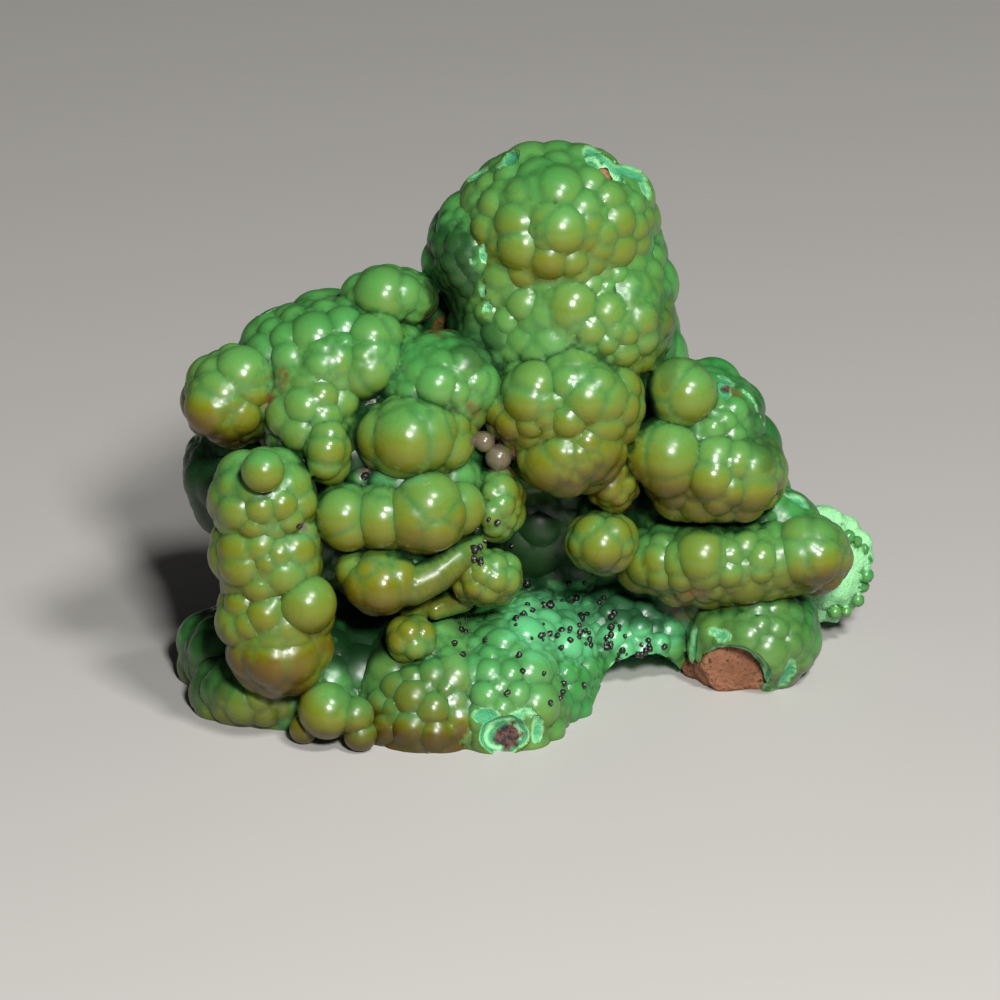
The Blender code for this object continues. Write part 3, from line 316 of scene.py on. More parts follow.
# Round lumps that stand clear of a lobe: (across, up, behind, radius).
BALLS = (
    (-14.0, 35.2, 12.0, 5.6), (-20.0, 34.9, 12.5, 4.8), (-25.4, 34.8, 12.5, 4.5),
    (-9.6, 36.0, 14.0, 4.0), (-18.6, 39.4, 15.0, 2.6), (-36.8, 41.2, 5.8, 3.05),
    (-30.9, 22.5, 6.8, 4.3), (-24.0, 27.2, 12.0, 3.0), (-19.4, 26.9, 11.6, 3.6),
    (-28.1, 7.3, 5.2, 4.1), (-24.2, 6.6, 4.8, 2.8), (-23.4, 3.9, 4.4, 2.4),
    (-31.4, 4.6, 7.0, 2.1), (22.4, 52.4, 26.5, 4.8), (20.2, 43.4, 24.2, 5.4),
    (-3.8, 43.2, 19.5, 1.9), (-5.8, 45.4, 19.5, 1.5), (-12.4, 40.4, 16.0, 2.6),
    (-23.4, 40.0, 16.5, 2.3),
)

# Smooth rolls and necks: each is a chain of (across, up, behind, radius).
ROLLS = (
    ((-19.6, 24.8, 10.4, 2.8), (-16.0, 25.0, 10.0, 2.8), (-12.6, 26.6, 10.8, 2.6),
     (-9.6, 28.8, 12.4, 2.2), (-7.2, 30.6, 15.0, 1.7)),
    ((-29.7, 11.3, 7.2, 1.3), (-28.4, 9.0, 7.0, 1.9)),
    ((-36.8, 41.2, 7.0, 2.0), (-36.2, 41.0, 20.0, 2.4)),
    ((-16.4, 18.4, 11.5, 1.7), (-15.6, 21.6, 15.0, 2.1), (-14.0, 25.0, 18.0, 2.6)),
    ((-12.8, 21.6, 15.0, 1.5), (-9.0, 23.0, 17.5, 1.9)),
)

# Upright masses that carry the lobes.
MASSES = (
    Lobe("apron left", (-13.8, 19.4, 1.0), (12.4, 15.8, 13.0), 0.52, 1.9, (
        (-25.0, 13.8, 1.8), (-22.5, 11.3, 1.5), (-21.1, 8.6, 1.7), (-18.8, 11.0, 1.9),
        (-16.3, 12.3, 1.6), (-16.3, 9.5, 2.3), (-13.0, 12.8, 2.1), (-10.9, 10.6, 1.5),
        (-13.0, 7.6, 2.2), (-16.6, 4.6, 2.2), (-20.2, 4.6, 1.9), (-12.6, 3.6, 2.2),
        (-10.8, 15.0, 1.7), (-26.4, 9.8, 1.4), (-9.9, 18.4, 1.4))),
    Lobe("apron front", (-3.6, 19.0, 1.0), (10.2, 15.6, 12.6), 0.52, 1.9, (
        (-8.2, 12.8, 2.6), (-5.4, 12.9, 2.0), (-5.8, 9.6, 2.0), (-9.4, 8.0, 2.2),
        (-3.3, 17.3, 2.2), (-7.8, 18.7, 1.6), (-7.6, 16.6, 1.4), (-4.3, 20.2, 1.5),
        (-1.3, 22.8, 1.3), (-1.7, 20.0, 1.8), (0.6, 18.4, 3.0), (-1.9, 12.8, 1.8),
        (-0.8, 9.8, 1.8), (1.4, 13.2, 2.9), (2.6, 8.2, 3.1), (6.4, 8.2, 1.9),
        (-9.0, 4.0, 2.0), (4.4, 4.2, 2.0), (-5.2, 15.2, 1.5), (-1.0, 3.6, 1.8))),
    Lobe("apron shelf", (0.0, 28.0, 1.5), (11.0, 17.0, 11.0), 0.50, 1.4, (
        (6.2, 16.4, 2.2), (3.0, 24.4, 1.4), (5.2, 24.0, 1.4), (2.0, 27.0, 1.6),
        (6.0, 12.4, 1.7), (9.2, 13.0, 1.6), (8.8, 17.6, 1.5), (9.7, 21.5, 1.5))),
    Lobe("far shelf", (14.0, 42.0, 4.0), (12.4, 15.0, 8.0), 0.50, 1.4, (
        (12.0, 21.0, 1.3), (12.6, 17.4, 2.0), (16.6, 18.8, 1.7), (19.6, 16.4, 1.5))),
    Lobe("back of the tower", (4.8, 40.0, 52.0), (14.4, 9.4, 24.0), 0.44, 2.4, ()),
    Lobe("middle back", (2.0, 44.0, 28.0), (24.0, 9.5, 32.0), 0.44, 2.6, ()),
    Lobe("left back", (-24.0, 40.0, 27.0), (19.0, 12.4, 28.0), 0.44, 2.6, ()),
    Lobe("left wall", (-39.6, 36.0, 29.5), (9.0, 9.6, 9.0), 0.44, 2.2, ()),
    Lobe("right back", (25.0, 42.0, 18.0), (13.2, 10.4, 23.0), 0.44, 2.4, ()),
    Lobe("column root", (-35.5, 22.0, 29.0), (5.6, 13.0, 6.5), 0.44, 2.0, ()),
    Lobe("middle root", (-15.5, 26.0, 32.0), (10.5, 14.5, 13.0), 0.44, 2.0, ()),
    Lobe("shoulder root", (-23.0, 29.0, 40.0), (13.5, 12.0, 12.0), 0.44, 2.0, ()),
    Lobe("bulge root", (5.0, 32.0, 42.0), (9.5, 11.0, 11.0), 0.44, 2.0, ()),
    Lobe("arm root", (29.0, 36.0, 21.0), (13.0, 9.0, 7.0), 0.44, 2.0, ()),
    Lobe("crown root", (25.6, 37.0, 37.6), (8.2, 9.0, 7.6), 0.44, 2.0, ()),
    Lobe("ball bunch root", (11.0, 29.0, 24.5), (3.0, 9.0, 3.4), 0.40, 1.5, ()),
    Lobe("left base", (-28.0, 26.0, 3.0), (16.0, 16.0, 10.5), 0.44, 2.0, ()),
    Lobe("under the bulge", (1.0, 42.0, 23.0), (12.0, 9.0, 10.0), 0.45, 1.6, ()),
    Lobe("wing", (42.8, 46.0, 11.5), (7.4, 5.4, 9.4), 0.30, 0.0, ()),
)

# Hollows that the crust leaves open.
HOLLOWS = (
    Hollow("arch", (17.2, 20.0, -3.0), (8.0, 20.0, 8.8)),
    Hollow("bottom break", (-2.6, 2.6, 2.8), (4.0, 3.0, 3.0)),
    Hollow("tower top", (22.5, 50.5, 93.5), (22.0, 22.0, 22.0)),
    Hollow("tower chip", (11.6, 33.2, 77.8), (3.2, 3.2, 3.0)),
    Hollow("window", (29.0, 19.5, 1.5), (7.5, 8.0, 8.0)),
    Hollow("crown pit", (28.6, 28.0, 46.0), (1.6, 2.6, 1.2)),
)

# The rock behind the crust.
ROCK_MASSES = (
    Hollow("slab", (-5.0, 48.0, 25.0), (33.0, 9.5, 26.0)),
    Hollow("tower finger", (7.0, 46.5, 52.0), (9.0, 9.0, 22.0)),
    Hollow("tower neck", (10.0, 43.0, 70.0), (2.6, 5.4, 4.0)),
    Hollow("tower spur", (11.2, 37.0, 73.0), (2.0, 4.6, 3.2)),
    Hollow("block tongue", (30.4, 36.5, 3.0), (8.0, 13.0, 7.6)),
)

# How olive a lobe's lumps are, from 0 for green to 1. The rest of the crust takes TONE_ELSEWHERE.
TONES = {
    "tower head": 0.92, "tower middle": 0.90, "tower left flank": 0.15, "tower trunk": 0.45,
    "tower waist": 0.80, "tower bulge": 0.98, "bulge tip": 1.0, "bulge tail": 0.85,
    "left shoulder": 0.62, "shoulder knob": 0.78, "shoulder corner": 1.3,
    "shoulder foot": 0.85, "folded drop": 0.88, "upper middle": 0.88, "saddle": 0.45,
    "side bunch": 0.70, "lip": 1.15, "lip bunch": 0.80, "hanging bunch": 0.90,
    "column head": 0.90, "column waist": 0.98, "column shaft": 1.0, "column core": 0.95,
    "column foot": 1.25, "left foot": 0.62, "left heel": 0.50, "double ball core": 0.95,
    "apron left": 1.4, "apron front": 0.36, "apron shelf": 0.05, "far shelf": 0.0,
    "ball bunch": 0.85, "right crown": 0.12, "right cheek": 0.92, "arm": 0.72,
    "arm end": 1.0, "right block": 0.26, "wing": 0.1,
}
TONE_ELSEWHERE = 0.12
TONE_BALLS = 0.98

# Lobes whose skin is finer and more bubbly: how far lumps stand out, and the fill's radius.
BUBBLY = {"apron front": (0.62, 1.5), "apron shelf": (0.85, 1.25), "far shelf": (0.85, 1.25)}
BROKEN_LOBE = "wing"                    # its own surface is a broken one

# Stains on the face, and patches of painted shade, deep green to near black, on faces turned from
# the light and under overhangs.
RUST_PATCHES = (
    Patch(-12.5, 62.0, 1.4, 1.6), Patch(-34.4, 54.0, 1.0, 1.6, 0.8),
    Patch(-36.0, 51.5, 1.0, 1.2), Patch(-7.5, 50.0, 0.9, 2.0), Patch(-2.0, 43.0, 1.0, 2.2),
    Patch(0.0, 47.0, 0.8, 1.6, 0.8), Patch(-13.0, 8.0, 1.8, 1.2, 0.8),
    Patch(24.6, 24.0, 1.6, 1.0), Patch(22.5, 22.0, 2.2, 1.4), Patch(30.2, 52.3, 1.1, 0.7),
    Patch(9.0, 37.5, 2.4, 0.9, 0.8), Patch(13.0, 36.4, 1.6, 0.8, 0.8),
)
GREY_PATCHES = (
    Patch(-3.8, 43.2, 2.3, 2.3), Patch(-5.7, 45.6, 1.9, 1.8), Patch(-22.5, 41.0, 0.9, 0.6),
    Patch(-31.3, 33.5, 0.7, 0.5),
)
TEAL_PATCHES = (
    Patch(6.0, 20.0, 9.0, 7.0), Patch(-2.0, 14.0, 9.0, 8.0, 0.22), Patch(16.0, 19.0, 8.0, 5.5),
    Patch(-34.0, 33.0, 7.0, 1.6, 0.5), Patch(-19.0, 40.2, 6.0, 1.2, 0.5),
)
CORE_PATCHES = (
    Patch(-2.3, 3.7, 2.2, 2.2), Patch(28.6, 53.0, 0.9, 0.6),
)
# Painted shade: each patch darkens the skin toward near black, only so far behind the foot as its
# depth limit allows.
PAINTED_SHADE_PATCHES = (
    Patch(-10.5, 69.0, 4.2, 9.0, 0.85), Patch(-46.0, 36.0, 7.0, 10.0, 1.0, 18.0),
    Patch(3.0, 31.0, 13.0, 7.5, 1.0, 25.0), Patch(-6.8, 59.5, 4.0, 4.0, 0.6),
    Patch(34.6, 47.5, 3.0, 7.0, 0.5), Patch(20.5, 37.0, 9.0, 2.6, 1.0, 27.0),
    Patch(35.0, 20.0, 9.0, 6.0, 0.25), Patch(-23.0, 15.0, 6.0, 8.0, 1.0, 11.0),
    Patch(-20.0, 22.0, 9.0, 3.6, 1.0, 17.0), Patch(-46.0, 14.0, 5.0, 8.0, 0.5),
    Patch(17.0, 22.0, 9.0, 4.0, 0.8, 28.0), Patch(20.2, 60.0, 1.8, 8.0, 0.4),
    Patch(-20.0, 30.6, 10.0, 2.2, 1.0, 17.0), Patch(-28.6, 36.0, 3.2, 8.0, 1.0, 14.0),
    Patch(-18.0, 9.0, 10.0, 6.0, 0.3), Patch(-20.0, 2.0, 14.0, 3.0, 0.4),
)

# Chips broken out of the face: (across, up), half-widths, and how deep in millimetres.
CHIPS = (
    Chip(-5.8, 72.1, 0.7, 1.2, 0.45), Chip(-6.0, 66.8, 0.85, 0.85, 0.45),
    Chip(-5.2, 64.5, 0.85, 0.85, 0.45), Chip(-7.5, 70.8, 0.4, 0.8, 0.35),
    Chip(-36.6, 64.2, 2.0, 0.7, 0.6), Chip(-26.0, 67.4, 1.0, 0.5, 0.4),
    Chip(28.5, 54.4, 2.2, 0.8, 0.6), Chip(32.4, 51.4, 0.7, 2.2, 0.6),
    Chip(34.2, 48.2, 0.6, 1.2, 0.5), Chip(38.4, 37.8, 1.5, 2.2, 0.7),
    Chip(-6.6, 83.7, 1.8, 0.9, 0.7), Chip(-2.4, 85.0, 2.4, 0.8, 0.7),
    Chip(9.4, 86.6, 3.4, 1.0, 0.8), Chip(14.4, 84.0, 2.0, 1.8, 0.8),
    Chip(17.2, 81.2, 1.2, 1.4, 0.7), Chip(13.3, 13.0, 2.2, 1.2, 0.6),
    Chip(-5.4, 6.6, 2.2, 1.1, 0.6), Chip(-0.6, 6.8, 2.2, 0.9, 0.6),
    Chip(1.6, 4.6, 1.2, 1.6, 0.6), Chip(38.0, 12.2, 1.2, 2.8, 0.7),
    Chip(28.0, 17.9, 2.4, 0.9, 0.7), Chip(24.2, 16.4, 0.9, 2.4, 0.7),
    Chip(-2.6, 1.6, 3.0, 0.7, 0.6),
)

# Small beads on the wing's broken rim: (right, back, high, radius).
BEADS = (
    (49.2, 44.0, 14.6, 1.0), (49.9, 44.4, 12.6, 0.9), (49.8, 43.6, 10.6, 1.1),
    (49.4, 44.2, 8.6, 0.9), (48.6, 43.4, 6.8, 1.0), (47.0, 42.4, 17.2, 1.0),
    (48.3, 43.0, 16.2, 0.8), (45.2, 41.6, 5.6, 1.0), (46.9, 42.4, 5.4, 0.8),
)

# Dark grains that lie on the crust: (across, up, radius).
GRAINS = (
    (0.5, 24.8, 0.55), (3.8, 22.4, 0.60), (7.2, 23.0, 0.50), (8.4, 20.6, 0.65), (8.0, 18.5, 0.5),
    (6.1, 17.3, 0.45), (12.3, 19.2, 0.55), (5.7, 11.2, 0.45), (5.6, 10.0, 0.50),
    (-9.8, 17.2, 0.45), (-0.5, 15.4, 0.50), (8.7, 10.5, 0.45), (16.2, 15.6, 0.50),
    (17.1, 15.7, 0.45), (18.2, 15.5, 0.50), (-7.0, 30.5, 0.60), (-7.0, 29.2, 0.55),
    (-22.5, 41.0, 0.60), (-31.3, 33.5, 0.45),
)
# Fields of finer grains: each a round patch, and how many lie in it.
GRAIN_FIELDS = (
    (Patch(6.5, 20.5, 8.0, 4.6), 36), (Patch(13.0, 17.0, 6.0, 3.0), 20),
    (Patch(-5.0, 31.0, 3.0, 3.4), 10), (Patch(-8.0, 18.0, 2.6, 2.6), 7),
    (Patch(2.0, 11.0, 5.0, 4.0), 5), (Patch(18.0, 15.8, 3.0, 0.8), 8),
)
FINE_GRAIN = (0.24, 0.52)               # their smallest and largest radius

# Fields that the crust's mesh carries for its finish.
# Of these, one darkens gaps, undersides and listed patches toward near black as painted shade;
# one lays deep green in recesses and nooks, partly as painted shade; one lays bright green on
# faces that look up, as painted light, and on faces turned sideways.
WARM, DEEP_GREEN_AND_SHADE, CREASE, BREAK, DEPTH = "warm", "deep_green_and_shade", "crease", "break", "depth"
RUST, GREY, TEAL, CHANCE = "rust", "grey", "teal", "chance"
CORE, PAINTED_SHADE, BRIGHT_GREEN = "core", "painted_shade", "bright_green"
# The patched fields, the stains and the painted shade, and how ragged their patches' edges are,
# as a share of the radius.
STAINS_AND_PAINTED_SHADE = ((RUST, RUST_PATCHES, 0.9), (GREY, GREY_PATCHES, 0.4), (TEAL, TEAL_PATCHES, 0.3),
          (CORE, CORE_PATCHES, 0.5), (PAINTED_SHADE, PAINTED_SHADE_PATCHES, 0.25))
CHANCE_STEPS = (1, 3, 7)                # spreads the lumps' numbers over the hash's cells
CHANCE_SEED = 5

# A Mix node's colour sockets.
COLOUR_A, COLOUR_B, COLOUR_OUT = 6, 7, 2


def srgb(red: int, green: int, blue: int) -> Colour:
    """Return a screen colour, 0 to 255, as the linear colour that shaders take."""
    parts = np.array((red, green, blue)) / 255.0
    linear = np.where(parts <= 0.04045, parts / 12.92, ((parts + 0.055) / 1.055) ** 2.4)
    return (*(float(part) for part in linear), 1.0)


def smooth_step(low: float, high: float, value: Grid) -> Grid:
    """Return 0 before low and 1 past high, rising smoothly between, for a whole array."""
    share = np.clip((value - low) / (high - low), 0.0, 1.0)
    return share * share * (3.0 - 2.0 * share)


def charted(across: Grid, up: Grid, behind: Grid) -> Grid:
    """Place charted points in the upright frame, in millimetres.

    Args:
        across: How far right of the chart's middle.
        up: How far up the leaning face.
        behind: How far behind the front foot, level.

    Returns:
        An array of points: high is (up - behind * sine of the tilt) / cosine of the tilt.
    """
    high = (up - behind * math.sin(FACE_TILT)) / math.cos(FACE_TILT)
    return np.stack(np.broadcast_arrays(across, behind, high), axis=-1) + ORIGIN_SHIFT


def face_axes() -> Grid:
    """Return the leaning face's across, up and out directions as a 3x3 array's columns."""
    sine, cosine = math.sin(FACE_TILT), math.cos(FACE_TILT)
    return np.array(((1.0, 0.0, 0.0), (0.0, sine, -cosine), (0.0, cosine, sine)))


def chart_of(points: Grid) -> tuple[Grid, Grid]:
    """Return where points in the upright frame fall on the chart, as (across, up)."""
    local = points - ORIGIN_SHIFT
    return local[:, 0], local[:, 2] * math.cos(FACE_TILT) + local[:, 1] * math.sin(FACE_TILT)


def hashed(cells: Grid, seed: int) -> Grid:
    """Return a repeatable number in 0..1 for each whole-number cell of an (n, 3) array."""
    mixed = (cells.astype(np.int64) @ HASH_STEPS + seed * HASH_FACTOR) & HASH_MASK
    mixed = ((mixed ^ (mixed >> 13)) * HASH_FACTOR) & HASH_MASK
    return ((mixed ^ (mixed >> 16)) & HASH_MASK) / float(HASH_MASK)


def soft_noise(points: Grid, size: float, seed: int) -> Grid:
    """Return smooth noise in -1..1: a cell's corners are hashed and blended across the cell.

    Args:
        points: An (n, 3) array, in millimetres.
        size: The noise's cell, in millimetres.
        seed: Which noise.

    Returns:
        One value for each point.
    """
    scaled = points / size
    cell = np.floor(scaled)
    inside = scaled - cell
    inside = inside * inside * (3.0 - 2.0 * inside)
    total = np.zeros(len(points))
    for corner in np.ndindex(2, 2, 2):
        side = np.array(corner)
        weight = np.prod(np.where(side == 1, inside, 1.0 - inside), axis=1)
        total += weight * hashed(cell + side, seed)
    return 2.0 * total - 1.0


@dataclass
class GrownBody:
    """The crust's ellipsoids and balls, and the distance from any point to their joined skin.

    A point's distance to one ellipsoid is k0 * (k0 - 1) / k1: k0 is the length of the point
    over the radii, k1 of the point over the squared radii. The skin is where the least
    distance is zero.
    """

    centres: list[Grid] = field(default_factory=list)
    radii: list[Grid] = field(default_factory=list)
    axes: list[Grid] = field(default_factory=list)
    tones: list[float] = field(default_factory=list)
    roughness: list[float] = field(default_factory=list)

    def add(self, centre: Grid, radii: Sequence[float], axes: Grid, tone: float,
            rough: float = 0.0) -> None:
        """Add one ellipsoid.

        Args:
            centre: Its middle, in millimetres.
            radii: Its three half-widths.
            axes: Its directions, as columns.
            tone: How olive it is.
            rough: Height of its broken surface, or 0 where it is a grown one.
        """
        self.centres.append(np.asarray(centre, float))
        self.radii.append(np.asarray(radii, float))
        self.axes.append(axes)
        self.tones.append(tone)
        self.roughness.append(rough)

    def add_ball(self, centre: Grid, radius: float, tone: float) -> None:
        """Add one ball."""
        self.add(centre, (radius, radius, radius), np.eye(3), tone)

    def pack(self) -> None:
        """Turn the lists into whole arrays."""
        self.centres = np.array(self.centres)
        self.radii = np.array(self.radii)
        self.axes = np.array(self.axes)
        self.tones = np.array(self.tones)
        self.roughness = np.array(self.roughness)

    def distance(self, points: Grid, which: Grid) -> tuple[Grid, Grid]:
        """Return each point's distance to its own ellipsoid, and the outward direction there.

        Args:
            points: An (n, 3) array.
            which: One ellipsoid's number for each point.

        Returns:
            The distances and an (n, 3) array of unit directions.
        """
        radii = self.radii[which]
        local = np.einsum("nij,ni->nj", self.axes[which], points - self.centres[which])
        scale = np.sqrt(((local / radii) ** 2).sum(axis=1))
        slope = local / radii ** 2
        steep = np.maximum(np.sqrt((slope ** 2).sum(axis=1)), TINY)
        away = np.einsum("nij,nj->ni", self.axes[which], slope) / steep[:, None]
        gap = scale * (scale - 1.0) / steep
        broken = self.roughness[which] > 0.0
        if broken.any():
            gap[broken] += self.roughness[which[broken]] * crag(points[broken])
        return gap, away

    def depth(self, points: Grid, number: int) -> Grid:
        """Return how deep points are inside one ellipsoid, positive there."""
        return -self.distance(points, np.full(len(points), number))[0]


def crag(points: Grid) -> Grid:
    """Return the shape of a broken face in about -1..1: coarse, fine and finest noise."""
    return sum(weight * soft_noise(points, size, seed) for weight, size, seed in CRAG_LAYERS)


def seat_lump(centre: Grid, axes: Grid, radii: Triple, stand: float, on_unit: Grid,
              radius: float) -> Ball:
    """Seat a lump on an ellipsoid, which is taken as a sphere of its mean radius.

    The lump's ball meets that sphere all around the lump's cell and stands out of it.

    Args:
        centre: The ellipsoid's middle, in millimetres.
        axes: The ellipsoid's directions, as columns.
        radii: The ellipsoid's half-widths.
        stand: How far the lump stands out, in cell radii.
        on_unit: The unit-sphere point that maps to the lump's place on the ellipsoid.
        radius: Radius of the lump's visible cell.

    Returns:
        The ball's centre and radius.
    """
    mean = (radii[0] * radii[1] * radii[2]) ** (1.0 / 3.0)
    top = mean + stand * radius
    inwards = mean * math.sqrt(1.0 - min(MOST_REACH, CELL_REACH * radius / mean) ** 2)
    middle = (top ** 2 - mean ** 2) / (2.0 * (top - inwards))
    normal = on_unit / radii
    normal /= np.linalg.norm(normal)
    return centre + axes @ (on_unit * radii - normal * (mean - middle)), top - middle


def charted_direction(centre: Grid, axes: Grid, radii: Triple, across: float,
                      up: float) -> Grid:
    """Return the unit-sphere point of an ellipsoid that a charted point falls on, in front.

    A line is drawn from the chart straight back to where it first meets the ellipsoid.
    """
    away = np.array((0.0, math.cos(FACE_TILT), -math.sin(FACE_TILT)))
    start = (axes.T @ (charted(across, up, 0.0) - centre)) / radii
    step = (axes.T @ away) / radii
    middle = start @ step / (step @ step)
    spread = middle ** 2 - (start @ start - 1.0) / (step @ step)
    meeting = start + step * (-middle - math.sqrt(max(0.0, spread)))
    return meeting / np.linalg.norm(meeting)


def fill_cells(radii: Triple, fill: float, cells: list[Ball], seed: int) -> list[Ball]:
    """Pack cells at random into what is left bare of an ellipsoid, from large to small.

    Args:
        radii: The ellipsoid's half-widths.
        fill: Usual radius of a cell.
        cells: The cells that are there, each a unit-sphere point and a radius.
        seed: Which random packing.

    Returns:
        The new cells.
    """
    chance = np.random.default_rng(seed)
    across, up, out = radii
    mean_square = (across * up + up * out + across * out) / 3.0
    tries = int(FILL_TRIES * 4.0 * math.pi * mean_square / fill ** 2)
    filled = []
    places = np.array([cell[0] for cell in cells]).reshape(-1, 3) * np.array(radii)
    sizes = np.array([cell[1] for cell in cells])
    for number in range(tries):
        direction = chance.normal(size=3)
        direction /= np.linalg.norm(direction)
        spot = direction * radii
        size = fill * (FILL_LARGE + (FILL_SMALL - FILL_LARGE) * number / tries)
        room = np.linalg.norm(places - spot, axis=1) - LUMP_OVERLAP * sizes
        size = min(size, FILL_GROWTH * np.min(room, initial=size))
        if size >= SMALLEST_FILL:
            filled.append((direction, size))
            places = np.vstack([places, spot])
            sizes = np.append(sizes, size)
    return filled


def lobe_balls(centre: Grid, axes: Grid, lobe: Lobe, seed: int) -> list[Ball]:
    """Seat a lobe's charted lumps, then cover what they leave bare with lumps of mixed sizes.

    Args:
        centre: The lobe's middle in the upright frame.
        axes: The lobe's directions, as columns.
        lobe: The lobe.
        seed: Which random packing.

    Returns:
        The lumps' balls.
    """
    cells = [(charted_direction(centre, axes, lobe.radii, across, up), radius)
             for across, up, radius in lobe.lumps]
    balls = [seat_lump(centre, axes, lobe.radii, lobe.stand, *cell) for cell in cells]
    if lobe.fill:
        balls += [seat_lump(centre, axes, lobe.radii, lobe.stand * FILL_STAND, *cell)
                  for cell in fill_cells(lobe.radii, lobe.fill, cells, seed)]
    return balls


def chain_of_balls(points: Sequence[tuple[float, float, float, float]]) -> list[Ball]:
    """Return closely set balls along a smooth roll of (across, up, behind, radius)."""
    balls = []
    for start, end in zip(points, points[1:]):
        low, high = charted(*start[:3]), charted(*end[:3])
        spacing = ROLL_SPACING * min(start[3], end[3])
        steps = max(2, int(np.linalg.norm(high - low) / spacing))
        for share in np.linspace(0.0, 1.0, steps + 1):
            balls.append((low + (high - low) * share, start[3] + (end[3] - start[3]) * share))
    return balls


def budded(spot: Grid, size: float, seed: int) -> list[Ball]:
    """Return a ball as it is, or a large one as the low buds that cover it."""
    if size < BUD_FROM:
        return [(spot, size)]
    inner = (BUD_SEAT * size,) * 3
    cells = fill_cells(inner, BUD_SHARE * size, [], seed)
    return [seat_lump(spot, np.eye(3), inner, BUD_STAND, *cell) for cell in cells]


def grow_crust() -> GrownBody:
    """Set every lobe, lump, ball and roll of the crust in its place."""
    body = GrownBody()
    leaning = [(lobe, Lean.LEANING) for lobe in LOBES]
    upright = [(lobe, Lean.UPRIGHT) for lobe in MASSES]
    for seed, (lobe, lean) in enumerate(leaning + upright):
        if lean is Lean.LEANING:
            centre, axes = charted(*lobe.centre), face_axes()
        else:
            centre, axes = np.array(lobe.centre) + ORIGIN_SHIFT, np.eye(3)
        if lobe.name in BUBBLY:
            stand, fill = BUBBLY[lobe.name]
            lobe = replace(lobe, stand=stand, fill=fill)
        tone = TONES.get(lobe.name, TONE_ELSEWHERE)
        rough = WING_ROUGHNESS if lobe.name == BROKEN_LOBE else 0.0
        body.add(centre, lobe.radii, axes, tone, rough)
        for number, ball in enumerate(lobe_balls(centre, axes, lobe, seed)):
            for bud in budded(*ball, BUD_SEEDS * seed + number):
                body.add_ball(*bud, tone)
    for number, (*place, radius) in enumerate(BALLS):
        for bud in budded(charted(*place), radius, number):
            body.add_ball(*bud, TONE_BALLS)
    for roll in ROLLS:
        for ball in chain_of_balls(roll):
            body.add_ball(*ball, TONE_BALLS)
    for *place, radius in BEADS:
        body.add_ball(np.array(place) + ORIGIN_SHIFT, radius, TONE_ELSEWHERE)
    body.pack()
    return body


def back_break(points: Grid, further: float) -> Grid:
    """Say how far points are past the broken back.

    The break lies BACK_BREAK behind the front foot, further behind the low right wing and
    nearer at the tower's top, and is roughened by noise.

    Args:
        points: An (n, 3) array, in millimetres.
        further: How much further back the break lies.

    Returns:
        One distance for each point, positive where it is broken away.
    """
    local = points - ORIGIN_SHIFT
    right, high = local[:, 0], local[:, 2]
    wing = smooth_step(*WING_SIDE, right) * (1.0 - smooth_step(*WING_HEIGHT, high))
    depth = BACK_BREAK + WING_REACH * wing - TOWER_SETBACK * smooth_step(*TOWER_SPAN, high)
    gap = local[:, 1] - depth - further
    near = np.abs(gap) < ROUGH_REACH
    gap[near] += BREAK_ROUGHNESS * crag(points[near])
    return gap


def hollow_gap(hollow: Hollow) -> Gap:
    """Return the function that says how deep inside a hollow a point is."""
    body = GrownBody()
    body.add(np.array(hollow.centre) + ORIGIN_SHIFT, hollow.radii, np.eye(3), 0.0)
    body.pack()

    def inside(points: Grid) -> Grid:
        """Return the depth inside the hollow, positive there."""
        gap = body.depth(points, 0)
        near = np.abs(gap) < ROUGH_REACH
        gap[near] += HOLLOW_ROUGHNESS * crag(points[near])
        return gap

    return inside


def below_floor(points: Grid) -> Grid:
    """Return how far points are under the flat that the specimen stands on."""
    return -points[:, 2]


